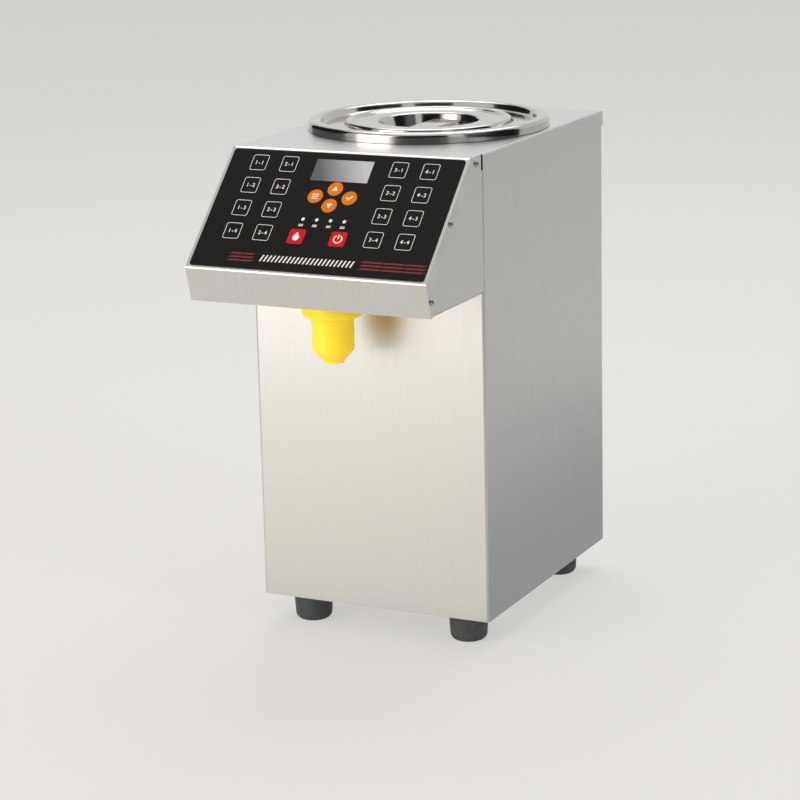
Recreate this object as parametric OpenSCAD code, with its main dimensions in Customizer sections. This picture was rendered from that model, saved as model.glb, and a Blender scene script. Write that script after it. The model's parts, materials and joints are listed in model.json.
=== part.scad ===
// Countertop syrup dispenser: a folded stainless column with a sloping key panel,
// a lift-off lid over a round tank, and a gear pump that feeds one nozzle.
//
// All pieces are drawn in the casing's frame: X to the right, Y to the back from the
// column's front face, Z up from the casing's underside. on_feet() then stands them on
// their feet with the origin under the middle of the whole dispenser.

/* [Casing] */
// Width of the column
casing_w = 240; // [239:1:260]
// Depth of the column, front to back
casing_d = 290; // [280:1:320]
// Height of the casing, from its underside to the face of its top cover
casing_h = 446; // [440:1:480]
// Thickness of the folded sheet
sheet_t = 1.2; // [0.8:0.1:1.6]
// Outer radius of the folded corners
bend_r = 2.5; // [2:0.25:4]
// Height of the edge turned down round the top cover
skirt_h = 15; // [10:1:22]
// Width of the return flange along each rear edge of the column
return_w = 14; // [12:1:20]
// Height of the base tray's turned-up edge
tray_h = 15; // [10:1:20]

/* [Head] */
// Length of the sloping face, from its front knee to the top cover
slope_len = 137.5; // [134:0.5:146]
// Angle of the sloping face to the horizontal
slope_angle = 44.5; // [42:0.5:48]
// How far the knee stands in front of the column
knee_out = 125; // [120:1:135]
// Height of the lip under the knee
lip_h = 32.5; // [28:0.5:38]
// How far the lip's lower edge stands back from the knee
lip_lean = 9; // [5:0.5:12]
// Width of the panel's side flanges
flange_w = 12; // [10:0.5:15]
// Open slot between the panel's top tab and the top cover's skirt
seam_w = 4; // [3:0.5:5]

/* [Key film] */
// Thickness of the printed film
film_t = 0.5; // [0.3:0.1:0.8]
// Bare metal left above and below the film
film_margin = 2.7; // [2:0.1:4]
// Bare metal left beside the film
film_side = 3.2; // [2:0.1:6]
// Radius of the film's corners
film_r = 3; // [1:0.5:6]

/* [Keys] */
// Width of a numbered key
number_w = 17; // [14:0.5:18]
// Height of a numbered key
number_h = 18; // [14:0.5:20]
// Distance from the middle of the panel to the inner columns
column_in = 56; // [54:0.5:58]
// Distance from an inner column to the outer one
column_pitch = 31; // [26:0.5:34]
// Distance from the film's top edge to the first row
row_top = 15; // [13:0.5:16]
// Distance from row to row
row_pitch = 25.7; // [24:0.1:27]
// Diameter of the four round keys
round_d = 15; // [12:0.5:15.5]
// Distance from the film's top edge to the middle of the round keys
round_drop = 48.9; // [48.5:0.1:50]
// Half the spread of the round keys, up and down
round_rise = 9.3; // [9:0.1:9.5]
// Half the spread of the round keys, left and right
round_reach = 17.3; // [16.5:0.1:20]
// Side of the two square keys
square_w = 16; // [13:0.5:18]
// Distance from the film's top edge to the square keys
square_drop = 93.8; // [90:0.1:97]
// Distance from the middle of the panel to a square key
square_out = 21; // [18:0.5:24]
// How far a key travels when it is pressed
key_travel = 0.5; // [0.3:0.1:0.7]
// Thickness of a key's cap
cap_t = 2.2; // [1.8:0.1:2.6]
// How far a key stands above the film
key_proud = 0.2; // [0.1:0.05:0.4]
// Diameter of the plunger behind a key
plunger_d = 3.5; // [3:0.1:4]

/* [Display and lamps] */
// Width of the display window
display_w = 58; // [50:1:66]
// Height of the display window
display_h = 24; // [20:0.5:24]
// Distance from the film's top edge to the middle of the window
display_drop = 19.3; // [17:0.1:20]
// Diameter of an indicator lamp
lamp_d = 3.8; // [3:0.1:5]
// Number of indicator lamps
lamp_count = 4; // [2:1:4]
// Distance from lamp to lamp
lamp_pitch = 14; // [11:0.5:16]
// Distance from the film's top edge to the lamps
lamp_drop = 74.3; // [72:0.1:77]

/* [Key board] */
// Depth of the board's face behind the panel's face
board_drop = 8; // [7.5:0.1:10]
// Thickness of a circuit board
board_t = 1.6; // [1.2:0.1:2]
// Distance from the panel's side edges to the board
board_side = 17; // [14:0.5:20]
// Distance from the panel's upper and lower edges to the board
board_margin = 12; // [10:0.5:14]
// Side of a key switch
switch_w = 6; // [5.5:0.1:7]
// Height of a key switch's case
switch_h = 3.5; // [3:0.1:3.8]
// Diameter of a board spacer
spacer_d = 7; // [6:0.5:8]

/* [Nozzle] */
// Distance of the nozzle's axis in front of the column
nozzle_out = 54; // [50:1:60]
// Distance of the nozzle's axis to the left of the dispenser's middle
nozzle_side = 8.5; // [0:0.5:12]
// Diameter of the nozzle's collar
collar_d = 56; // [50:1:60]
// Height of the nozzle's collar
collar_h = 19.5; // [16:0.5:28]
// Diameter of the nozzle's barrel
barrel_d = 39.2; // [34:0.2:42]
// Height of the nozzle's barrel
barrel_h = 31; // [22:1:34]
// Height of the taper at the nozzle's mouth
taper_h = 12; // [8:1:16]
// Diameter of the nozzle's mouth
mouth_d = 20; // [14:1:24]
// Radius between the nozzle's barrel and its taper
barrel_round = 7; // [1:0.5:8]
// Diameter of the threaded shank that passes through the head
shank_d = 20; // [16:1:24]
// Thickness of the nozzle's nut
nozzle_nut_t = 7; // [5:0.5:9]

/* [Hoses] */
// Inside diameter of the silicone hoses
hose_bore = 8; // [6:0.5:9]
// Wall of the silicone hoses
hose_wall = 2; // [1.5:0.25:2.5]
// Radius of the hoses' bends, along their middle
hose_bend = 22; // [18:1:24]
// Length of hose pushed over each barb
barb_len = 14; // [10:1:16]

/* [Feet] */
// Height of a foot
foot_h = 30; // [22:1:36]
// Diameter of a foot at the top
foot_d = 39; // [34:1:44]
// Diameter of a foot near the floor, before its rounded edge
foot_tip_d = 35; // [31:0.5:38]
// Radius of a foot's lower edge
foot_round = 6; // [3:0.5:8]
// Distance from the column's sides to a foot's middle
foot_side = 36; // [30:1:50]
// Distance from the column's front and back to a foot's middle
foot_end = 33; // [28:1:50]

/* [Tank and lid] */
// Inner radius of the tank
tank_r = 104; // [96:0.5:105]
// Wall of the tank
tank_t = 1; // [0.8:0.1:1.4]
// Depth of the tank's straight wall below the top cover
tank_depth = 232; // [200:1:240]
// Height of the tank's dished floor
dish_h = 12; // [8:1:16]
// Distance of the tank's axis behind the column's front
tank_y = 142; // [138:1:146]
// Height of the tank's rolled rim above the top cover
rim_h = 6; // [4:0.5:8]
// How far the lid reaches past the tank's inner wall
lid_reach = 14; // [12.5:0.5:14.5]
// Thickness of the lid's sheet
lid_t = 1; // [0.6:0.1:1.2]
// Height of the lid's rolled edge above the top cover
lid_edge_h = 15.5; // [13:0.5:18]
// Radius of the raised ring on the lid
lid_ring_r = 80; // [70:1:84]
// Height of the raised ring above the lid's channel
lid_ring_h = 5.5; // [4:0.5:7]
// Radius of the finger recess in the lid
recess_r = 48; // [42:0.5:52]
// Depth of the finger recess below the lid's raised middle
recess_h = 15; // [12:0.5:18]
// Width of the strap across the recess
strap_w = 18; // [14:0.5:22]
// Thickness of the strap
strap_t = 2; // [1.5:0.25:2.5]

/* [Pump] */
// Number of teeth on each pump gear
teeth = 12; // [12:2:16]
// Size of the teeth, as pitch diameter over number of teeth
tooth_size = 2; // [1.6:0.1:2]
// Width of the pump gears
gear_w = 12; // [8:1:14]
// Diameter of the pump's shafts
shaft_d = 8; // [6:0.5:9]
// Thickness of the wall between the gears and the motor
pump_wall = 7; // [6:0.5:9]
// Thickness of the pump's cover
pump_cover_t = 7; // [6:0.5:9]
// Wall round the gears
pump_rim = 8; // [6:0.5:10]
// Height of the driving shaft above the casing's underside
shaft_z = 45; // [42:1:50]
// Distance of the pump's axis behind the column's front
pump_y = 86; // [82:1:90]
// Diameter of the motor
motor_d = 52; // [44:1:56]
// Length of the motor
motor_len = 84; // [60:1:88]

/* [Rear panel] */
// Height of the mains inlet and switch above the casing's underside
mains_z = 70; // [62:1:90]
// Distance from the column's left side to the middle of the mains inlet
inlet_side = 60; // [50:1:70]
// Distance from the column's right side to the middle of the mains switch
switch_side = 70; // [50:1:75]
// Rows of vent slots
vent_rows = 8; // [4:1:10]
// Length of a vent slot
vent_len = 60; // [40:1:80]
// Height of a vent slot
vent_h = 4; // [3:0.5:5]
// Angle that the rocker turns from off to on
rocker_turn = 16; // [12:1:18]

/* [Fits] */
// Gap round anything that is screwed or slotted into place
fit = 0.2; // [0.1:0.05:0.3]
// Gap between pieces that move past each other
run_gap = 0.3; // [0.25:0.05:0.4]
// Radial gap of a shaft or plunger in its bore
shaft_fit = 0.05; // [0.02:0.01:0.08]

/* [Hidden] */
$fn = 64;
arc_steps = 5;
over = 1;                      // how far a cutter runs past the face that it cuts

steel = [0.84, 0.83, 0.80];
bright_steel = [0.90, 0.90, 0.90];
black = [0.10, 0.10, 0.09];
yellow = [1.00, 0.92, 0.20];
orange = [0.94, 0.55, 0.12];
red = [0.86, 0.12, 0.16];
rubber_grey = [0.30, 0.31, 0.32];
glass_grey = [0.62, 0.63, 0.65];
lamp_white = [0.96, 0.96, 0.94];
board_green = [0.10, 0.36, 0.22];
milky = [0.86, 0.88, 0.88];
gear_steel = [0.62, 0.64, 0.66];
motor_grey = [0.42, 0.43, 0.45];
zinc = [0.72, 0.74, 0.76];
amber = [0.78, 0.40, 0.16];

// Levels and widths that several pieces share
cover_under = casing_h - sheet_t;
panel_w = casing_w + 2 * sheet_t;
inner_w = casing_w - 2 * sheet_t;
slope_dir = [cos(slope_angle), sin(slope_angle)];
slope_top = [-knee_out + slope_len * slope_dir.x, casing_h];
knee = [-knee_out, casing_h - slope_len * slope_dir.y];
head_z = knee.y - lip_h;
lip_foot = [-knee_out + lip_lean, head_z];
slope_end = slope_top - slope_dir * sheet_t / slope_dir.y;
skirt_lead = 1;                // the skirt starts this far in front of the column
tab_back = -skirt_lead - seam_w;
window_w = 190;                // opening in the column's front, behind the head
window_low = head_z + 15;
window_h = 85;

// Key film, measured along the slope from the knee
film_w = panel_w - 2 * film_side;
film_low = film_margin;
film_top = slope_len - film_margin;
key_face = film_t + key_proud;
cap_under = key_face - cap_t;
key_corner = 2.5;
display_corner = 0.6;
ledge = 2;                     // sheet left under the display window's edges
lamp_dome = 0.3;

// Key board
board_w = panel_w - 2 * board_side;
board_len = slope_len - 2 * board_margin;
switch_collar_h = 0.8;
switch_top = -board_drop + switch_h + switch_collar_h;
plunger_end = switch_top - 2.2;
plunger_room = 0.4;            // left under a plunger when its key is pressed
socket_w = 24;
socket_len = 8;
socket_h = 6;
socket_s = 60;

// Screws of 3 mm: panel sides, rear panel and circuit boards
screw_d = 3;
screw_head_d = 6;
screw_head_h = 2;
screw_len = 6;
screw_inset = 5;               // from an edge to a screw

// Nozzle, hoses and barbs
hose_d = hose_bore + 2 * hose_wall;
barb_d = hose_bore - 2 * shaft_fit;
bore_d = 5;
shank_h = sheet_t + nozzle_nut_t + 5;
nozzle_top = head_z + shank_h + barb_len + 2;
hose_front_y = sheet_t + hose_d / 2 + 8;
hose_peak = nozzle_top + hose_bend + 8;

// Tank, lid and what carries them
tank_out = tank_r + tank_t;
cover_hole_r = tank_out + 1.5;
flange_r = tank_out + 8;
gasket_t = 1;
tank_floor = -tank_depth - dish_h;
bead_r = 1.5;                  // rolled edge along the tank's rim
outlet_r = 9;
lid_r = tank_r + lid_reach;
lid_low = 1;
channel_z = rim_h + run_gap + lid_t;
ring_z = channel_z + lid_ring_h;
middle_z = ring_z - 2;
recess_floor = middle_z - recess_h;
recess_taper = 6;              // the recess narrows by this much at its floor
spigot_h = 10;
strap_drop = 8;                // how far the strap's ends turn down below the lid's middle
heater_h = 80;
heater_t = 2;
outlet_len = 30;

// Pump: its gears turn about axes along X, and the flow runs from back to front
pitch_r = teeth * tooth_size / 2;
backlash = 0.15;
gear_span = 2 * pitch_r + 0.1; // distance between the two shafts
tip_r = pitch_r + tooth_size;
root_r = pitch_r - 1.25 * tooth_size;
pressure_angle = 25;
base_r = pitch_r * cos(pressure_angle);
chamber_r = tip_r + 0.12;
side_gap = 0.1;                // beside the gears
chamber_w = gear_w + 2 * side_gap;
pump_x = -chamber_w / 2;       // the pump cover's inner face
idler_z = shaft_z + gear_span;
port_z = (shaft_z + idler_z) / 2;
bearing_len = 4;
port_len = chamber_r + pump_rim + 3;
// A port's barb ends where the suction hose starts to bend
port_barb_len = tank_y - hose_bend - pump_y - port_len - run_gap;
bracket_t = 2;
bracket_w = 70;
bracket_foot_len = 60;
bracket_x = pump_x + chamber_w + pump_wall;
motor_x = bracket_x + bracket_t;
motor_bore_len = 16;

// Mains inlet, switch and feet, measured across from the middle
inlet_out = casing_w / 2 - inlet_side;
switch_out = casing_w / 2 - switch_side;
foot_x = casing_w / 2 - foot_side;

// Main board and power supply; the supply fits between a foot's nut and the switch's lead
nut_room = 12;
lead_side = 10;                // from the switch's middle to its lead
supply_edge = 4;               // from that lead to the supply's edge
supply_left = -foot_x + nut_room;
supply_right = switch_out - lead_side + supply_edge;
supply_size = [supply_right - supply_left, 90, 30];
supply_x = (supply_left + supply_right) / 2;
main_gap = 5.8;                // from the column's wall to the main board
main_size = [70, 100, board_t];
main_x = -inner_w / 2 + main_gap + main_size.x / 2;
main_y = 80;
main_spacer_h = 9;
main_top = sheet_t + main_spacer_h + board_t;
plug_h = 9;
lead_d = 4;
lead_bend = 8;
supply_y = casing_d - 2 * sheet_t - fit - sheet_t - fit - supply_size.y / 2;

// Mains inlet and switch
inlet_flange = [50, 24, 3];
inlet_body = [27, 20, 24];
inlet_cavity = [24.4, 16, 16];
inlet_screw_pitch = 40;
pin_size = [2, 12, 4];
pin_spread = 7;
pin_drop = 2.5;
switch_body = [22, 29, 24];
switch_bezel = [26, 33, 2];
rocker_w = 18;
rocker_len = 24;
rocker_pin_d = 4;
rocker_face = 4.5;             // from the pivot to the middle of the rocker's face
rocker_half = rocker_turn / 2;
rocker_edge = rocker_face + rocker_len / 2 * tan(rocker_half);
rocker_room = rocker_len / 2 * cos(rocker_half) + rocker_edge * sin(rocker_half) + run_gap;
pivot_y = casing_d + switch_bezel.z - rocker_face + run_gap;
rocker_reach = pivot_y + rocker_len / 2 * sin(rocker_half) + rocker_edge * cos(rocker_half);

// Feet
foot_hole_d = 5.5;
foot_screw_d = 5;
foot_screw_head = [10, 3.5];
foot_screw_len = 22;
foot_pocket_d = 14;
foot_pocket_h = 17;
foot_nut = [8, 4];

middle_y = (rocker_reach - knee_out) / 2;

NUMBER_KEYS = [for (column = [1 : 4], row = [1 : 4]) str("key_", column, "_", row)];

// ---------------------------------------------------------------- outlines

function unit(v) = v / norm(v);
function right_of(v) = [v.y, -v.x];
function flat(p) = [p[0], p[1]];

// The corner between two legs, moved t to the right of both
function shifted_corner(before, at, after, t) =
    let (n = right_of(unit(at - before)), m = right_of(unit(after - at)))
    at + t * (n + m) / (1 + n * m);

// A path moved t to its right
function shifted(path, t) =
    let (last = len(path) - 1)
    [for (i = [0 : last])
        i == 0 ? path[0] + t * right_of(unit(path[1] - path[0]))
        : i == last ? path[last] + t * right_of(unit(path[last] - path[last - 1]))
        : shifted_corner(path[i - 1], path[i], path[i + 1], t)];

function reversed(path) = [for (i = [len(path) - 1 : -1 : 0]) path[i]];

// The arc of radius r that rounds the corner at b
function corner_arc(a, b, c, r) =
    let (
        u = unit(a - b),
        w = unit(c - b),
        half = acos(u * w) / 2,
        centre = b + unit(u + w) * r / sin(half),
        from = b + u * r / tan(half) - centre,
        to = b + w * r / tan(half) - centre,
        start = atan2(from.y, from.x),
        turn = (atan2(to.y, to.x) - start + 540) % 360 - 180
    )
    [for (i = [0 : arc_steps]) centre + r * [cos(start + turn * i / arc_steps),
                                             sin(start + turn * i / arc_steps)]];

// A path of [x, y, corner radius] points with its corners rounded
function rounded(path) =
    let (last = len(path) - 1)
    [for (i = [0 : last])
        each (i == 0 || i == last || path[i][2] == 0)
            ? [flat(path[i])]
            : corner_arc(flat(path[i - 1]), flat(path[i]), flat(path[i + 1]), path[i][2])];

// The edge of a sheet t thick, one face of which follows the path
module sheet_edge(path, t) {
    polygon(t > 0 ? concat(shifted(path, t), reversed(path))
                  : concat(path, reversed(shifted(path, t))));
}

// A plate that starts at y = 0 and has its two corners there rounded
module folded_plan(w, d, r) {
    translate([-w / 2, r]) square([w, d - r]);
    translate([-w / 2 + r, 0]) square([w - 2 * r, d]);
    for (side = [-1, 1]) translate([side * (w / 2 - r), r]) circle(r = r);
}

module rounded_plate(w, h, r) {
    square([w - 2 * r, h], center = true);
    square([w, h - 2 * r], center = true);
    for (x = [-1, 1], y = [-1, 1])
        translate([x * (w / 2 - r), y * (h / 2 - r)]) circle(r = r);
}

// Draws a (Y, Z) outline across the casing, w wide
module across(w) {
    rotate([90, 0, 90]) linear_extrude(w, center = true) children();
}

// Draws an (X, Z) outline from y = back forwards
module forwards(back, len) {
    translate([0, back, 0]) rotate([90, 0, 0]) linear_extrude(len) children();
}

module along_x(x) {
    translate([x, 0, 0]) rotate([0, 90, 0]) children();
}

// The sloping face: X across, Y up the slope from the knee, Z out of the face
module on_panel() {
    translate([0, knee.x, knee.y]) rotate([slope_angle, 0, 0]) children();
}

module both_sides() {
    children();
    mirror([1, 0, 0]) children();
}

module on_feet() {
    translate([0, -middle_y, foot_h]) children();
}

// ---------------------------------------------------------------- round tube on a route

function turn_at(route, i) = acos(unit(route[i] - route[i - 1]) * unit(route[i + 1] - route[i]));
function setback(route, i, bend) =
    (i == 0 || i == len(route) - 1) ? 0 : bend * tan(turn_at(route, i) / 2);
function placed(origin, x, y, z) =
    [[x.x, y.x, z.x, origin.x], [x.y, y.y, z.y, origin.y], [x.z, y.z, z.z, origin.z],
     [0, 0, 0, 1]];
function beside(dir) = unit(cross(dir, abs(dir.z) < 0.9 ? [0, 0, 1] : [1, 0, 0]));

// A round bar that runs straight between the route's points and bends at them
module bar_run(route, r, bend, past = 0) {
    last = len(route) - 1;
    for (i = [0 : last - 1]) {
        dir = unit(route[i + 1] - route[i]);
        from = route[i] + dir * (i == 0 ? -past : setback(route, i, bend));
        to = route[i + 1] - dir * (i == last - 1 ? -past : setback(route, i + 1, bend));
        multmatrix(placed(from, beside(dir), cross(dir, beside(dir)), dir))
            cylinder(h = norm(to - from), r = r);
    }
    for (i = [1 : 1 : last - 1]) {
        dir = unit(route[i] - route[i - 1]);
        next = unit(route[i + 1] - route[i]);
        centre = route[i] + unit(next - dir) * bend / cos(turn_at(route, i) / 2);
        out = unit(route[i] - dir * setback(route, i, bend) - centre);
        multmatrix(placed(centre, out, dir, cross(out, dir)))
            rotate_extrude(angle = turn_at(route, i)) translate([bend, 0]) circle(r = r);
    }
}

module hose_run(route) {
    difference() {
        bar_run(route, hose_d / 2, hose_bend);
        bar_run(route, hose_bore / 2, hose_bend, over);
    }
}

// ---------------------------------------------------------------- screws

// A domed screw that points down, with its head's seat at z = 0
module pan_screw(d, head_d, head_h, len) {
    translate([0, 0, -len]) cylinder(h = len, d = d);
    rotate_extrude()
        polygon(concat([[0, 0]], rounded([[head_d / 2, 0, 0], [head_d / 2, head_h, head_h * 0.6],
                                          [0, head_h, 0]])));
}

// A nut with its lower face at z = 0; across_flats is its width over two flats
module hex_nut(across_flats, h, bore) {
    difference() {
        cylinder(h = h, d = across_flats / cos(30), $fn = 6);
        translate([0, 0, -over]) cylinder(h = h + 2 * over, d = bore);
    }
}

// Where the panel's side screws sit, as (Y, Z)
function panel_screw_spots() = [
    [(slope_top.x + tab_back) / 2, casing_h - skirt_h / 2 + 1],
    knee + slope_dir * slope_len / 2 + right_of(slope_dir) * screw_inset,
    lip_foot + (knee - lip_foot) * 0.43 + right_of(unit(knee - lip_foot)) * screw_inset
];

module at_panel_screws() {
    for (spot = panel_screw_spots(), side = [-1, 1])
        translate([side * panel_w / 2, spot.x, spot.y]) rotate([0, side * 90, 0]) children();
}

module at_back_screws() {
    for (side = [-1, 1], z = [25, cover_under / 2, cover_under - 40])
        translate([side * (inner_w / 2 - return_w / 2), casing_d, z]) rotate([-90, 0, 0])
            children();
}

module cover_screws() {
    color(zinc) {
        at_panel_screws() pan_screw(screw_d, screw_head_d, screw_head_h, screw_len);
        at_back_screws() pan_screw(screw_d, screw_head_d, screw_head_h, screw_len);
    }
}

module screw_hole() {
    cylinder(h = 4 * screw_len, d = screw_d + 2 * fit, center = true);
}

// ---------------------------------------------------------------- casing

// Front and both sides, folded from one sheet, with return flanges at the back
module casing_wrap() {
    flange_y = casing_d - 2 * sheet_t;
    color(steel) difference() {
        linear_extrude(cover_under) difference() {
            folded_plan(casing_w, casing_d, bend_r);
            translate([0, sheet_t]) folded_plan(inner_w, flange_y - sheet_t, bend_r - sheet_t);
            translate([-inner_w / 2 + return_w, flange_y - over])
                square([inner_w - 2 * return_w, 2 * sheet_t + 2 * over]);
            translate([-inner_w / 2, casing_d - sheet_t]) square([inner_w, sheet_t + over]);
        }
        translate([-window_w / 2, -over, window_low]) cube([window_w, sheet_t + 2 * over, window_h]);
        at_back_screws() screw_hole();
    }
}

module vent_slots() {
    pitch = 2.25 * vent_h;
    for (side = [-1, 1], row = [0 : vent_rows - 1])
        translate([side * (vent_len / 2 + 12), casing_h * 0.55 + row * pitch])
            rounded_plate(vent_len, vent_h, vent_h / 2 - 0.01);
}

module back_panel() {
    w = inner_w - 2 * fit;
    color(steel) difference() {
        forwards(casing_d, sheet_t) difference() {
            translate([-w / 2, 0]) square([w, cover_under - fit]);
            vent_slots();
            translate([-inlet_out, mains_z]) square([inlet_body.x, inlet_body.y] + [2, 2] * fit,
                                                    center = true);
            translate([switch_out, mains_z]) square([switch_body.x, switch_body.y] + [2, 2] * fit,
                                                    center = true);
        }
        at_back_screws() screw_hole();
        at_inlet_screws() screw_hole();
    }
}

module at_feet() {
    for (x = [-1, 1], y = [foot_end, casing_d - foot_end])
        translate([x * foot_x, y, 0]) children();
}

// Tray that closes the underside and carries the works
module base_plate() {
    w = inner_w - 2 * fit;
    d = casing_d - 3 * sheet_t - 2 * fit;
    color(steel) translate([0, sheet_t + fit, 0]) difference() {
        linear_extrude(tray_h) folded_plan(w, d, bend_r);
        translate([0, sheet_t, sheet_t])
            linear_extrude(tray_h) folded_plan(w - 2 * sheet_t, d - 2 * sheet_t, bend_r - sheet_t);
        translate([0, -sheet_t - fit, 0]) {
            at_feet() cylinder(h = 3 * sheet_t, d = foot_hole_d, center = true);
            for (row = [0 : 5])
                translate([0, casing_d / 2 - 10 + row * 7, 0]) linear_extrude(3 * sheet_t, center = true)
                    rounded_plate(50, 3, 1.49);
        }
    }
}

// Plate over the column and the head, with an edge turned down round the column
module top_cover() {
    back = casing_d + sheet_t;
    color(steel) difference() {
        union() {
            intersection() {
                forwards(back, back + skirt_lead) translate([0, casing_h]) mirror([0, 1])
                    folded_plan(panel_w, skirt_h, bend_r - 0.5);
                translate([0, 0, casing_h]) across(panel_w + 1) mirror([0, 1]) {
                    translate([-skirt_lead, 0]) square([back + skirt_lead - bend_r, skirt_h]);
                    translate([-skirt_lead, bend_r - 0.5])
                        square([back + skirt_lead, skirt_h - bend_r + 0.5]);
                    translate([back - bend_r + 0.5, bend_r - 0.5]) circle(r = bend_r - 0.5);
                }
            }
            translate([-casing_w / 2, slope_top.x, cover_under])
                cube([casing_w, -slope_top.x, sheet_t]);
        }
        translate([-casing_w / 2, -2 * skirt_lead, casing_h - skirt_h - over])
            cube([casing_w, casing_d + 2 * skirt_lead, skirt_h - sheet_t + over]);
        translate([0, tank_y, casing_h]) cylinder(h = 4 * sheet_t, r = cover_hole_r, center = true);
    }
}

// Underside and sides of the head, folded from one sheet and fixed to the column's front
module head_shell() {
    inside = shifted([lip_foot, knee, slope_end], sheet_t);
    color(steel) difference() {
        intersection() {
            union() {
                forwards(0, knee_out) difference() {
                    translate([0, head_z]) folded_plan(casing_w, cover_under - head_z, bend_r);
                    translate([0, head_z + sheet_t])
                        folded_plan(inner_w, casing_h, bend_r - sheet_t);
                }
                forwards(0, sheet_t) difference() {
                    translate([0, head_z]) folded_plan(casing_w, cover_under - head_z, bend_r);
                    translate([-window_w / 2, window_low]) square([window_w, casing_h]);
                }
            }
            across(casing_w + 1)
                polygon(concat([[0, head_z], [inside[0].x, head_z]], inside,
                               [[slope_top.x + 2 * sheet_t, cover_under], [0, cover_under]]));
        }
        translate([-nozzle_side, -nozzle_out, head_z])
            cylinder(h = 4 * sheet_t, d = shank_d + 2 * fit, center = true);
        at_panel_screws() screw_hole();
        translate([-casing_w / 2 - over, tab_back, casing_h - skirt_h])
            cube([casing_w + 2 * over, seam_w, skirt_h]);
    }
}

module key_windows(gap) {
    for (column = [1 : 4], row = [1 : 4]) at_number_key(column, row)
        rounded_plate(number_w + 2 * gap, number_h + 2 * gap, key_corner);
    for (spot = round_spots()) translate(spot) circle(d = round_d + 2 * gap);
    for (side = [-1, 1]) translate([side * square_out, film_top - square_drop])
        rounded_plate(square_w + 2 * gap, square_w + 2 * gap, key_corner);
}

function round_spots() = [
    for (step = [[0, 1], [0, -1], [-1, 0], [1, 0]])
        [step.x * round_reach, film_top - round_drop + step.y * round_rise]
];

function number_spot(column, row) = [
    (column < 3 ? -1 : 1) * (column_in + ((column == 1 || column == 4) ? column_pitch : 0)),
    film_top - row_top - (row - 1) * row_pitch
];

module at_number_key(column, row) {
    translate(number_spot(column, row)) children();
}

function lamp_spots() = [
    for (i = [0 : lamp_count - 1]) [(i - (lamp_count - 1) / 2) * lamp_pitch, film_top - lamp_drop]
];

// Lip and slope folded at the knee, with side flanges lapped over the head's sides
module control_panel() {
    edge = rounded([[lip_foot.x, lip_foot.y, 0], [knee.x, knee.y, bend_r],
                    [slope_end.x, slope_end.y, 0]]);
    front = rounded([[lip_foot.x, lip_foot.y, 0], [knee.x, knee.y, bend_r],
                     [slope_top.x, slope_top.y, 0]]);
    tab = [[tab_back, casing_h], [tab_back, casing_h - skirt_h]];
    inner = shifted([lip_foot, knee, slope_top], flange_w);
    tab_corner = inner[1] + slope_dir * (casing_h - skirt_h - inner[1].y) / slope_dir.y;
    tuck = 12;
    color(steel) difference() {
        union() {
            across(panel_w) sheet_edge(edge, sheet_t);
            across(inner_w - 2 * fit)
                sheet_edge([slope_end - 3 * slope_dir, slope_end, slope_end + [tuck, 0]], sheet_t);
            both_sides() translate([(casing_w + sheet_t) / 2, 0, 0]) across(sheet_t)
                polygon(concat(front, tab, [tab_corner, inner[1], inner[0]]));
        }
        on_panel() translate([0, 0, -2 * sheet_t]) linear_extrude(4 * sheet_t) {
            key_windows(run_gap);
            for (spot = lamp_spots()) translate(spot) circle(d = lamp_d + 4 * fit);
            translate([0, film_top - display_drop])
                square([display_w - 2 * ledge, display_h - 2 * ledge], center = true);
        }
        at_panel_screws() screw_hole();
    }
}

// ---------------------------------------------------------------- key film, display and lamps

module keypad_overlay() {
    color(black) on_panel() linear_extrude(film_t) difference() {
        translate([0, (film_low + film_top) / 2])
            rounded_plate(film_w, film_top - film_low, film_r);
        key_windows(run_gap);
        for (spot = lamp_spots()) translate(spot) circle(d = lamp_d + 2 * fit);
        translate([0, film_top - display_drop])
            rounded_plate(display_w + 2 * fit, display_h + 2 * fit, display_corner);
    }
}

module display_window() {
    color(glass_grey) on_panel() translate([0, film_top - display_drop, 0])
        linear_extrude(film_t) rounded_plate(display_w, display_h, display_corner);
}

module display_module() {
    depth = board_drop - sheet_t - fit;
    color(black) on_panel()
        translate([-display_w / 2, film_top - display_drop - display_h / 2, -board_drop])
            cube([display_w, display_h, depth]);
}

module indicator_leds() {
    h = board_drop + film_t;
    color(lamp_white) on_panel() for (spot = lamp_spots())
        translate([spot.x, spot.y, -board_drop]) rotate_extrude()
            polygon(concat([[0, 0]], rounded([[lamp_d / 2, 0, 0], [lamp_d / 2, h + lamp_dome, 1.2],
                                              [0, h + lamp_dome, 0]])));
}

// ---------------------------------------------------------------- keys and their board

// A key's cap with the plunger that runs in its switch
module key_body() {
    translate([0, 0, cap_under]) linear_extrude(cap_t) children();
    translate([0, 0, plunger_end]) cylinder(h = cap_under - plunger_end + cap_t / 2, d = plunger_d);
}

module number_key(column, row) {
    color(black) on_panel() at_number_key(column, row) key_body()
        rounded_plate(number_w, number_h, key_corner);
}

module round_key(index) {
    color(orange) on_panel() translate(round_spots()[index]) key_body() circle(d = round_d);
}

module square_key(side) {
    color(red) on_panel() translate([side * square_out, film_top - square_drop]) key_body()
        rounded_plate(square_w, square_w, key_corner);
}

module at_key_switches() {
    on_panel() {
        for (column = [1 : 4], row = [1 : 4]) at_number_key(column, row) children();
        for (spot = round_spots()) translate(spot) children();
        for (side = [-1, 1]) translate([side * square_out, film_top - square_drop]) children();
    }
}

module key_switches() {
    bore_end = plunger_end - key_travel - plunger_room;
    color(motor_grey) at_key_switches() difference() {
        translate([0, 0, -board_drop]) {
            linear_extrude(switch_h) square(switch_w, center = true);
            cylinder(h = switch_h + switch_collar_h, d = plunger_d + 1.6);
        }
        translate([0, 0, bore_end]) cylinder(h = board_drop, d = plunger_d + 2 * shaft_fit);
    }
}

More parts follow.
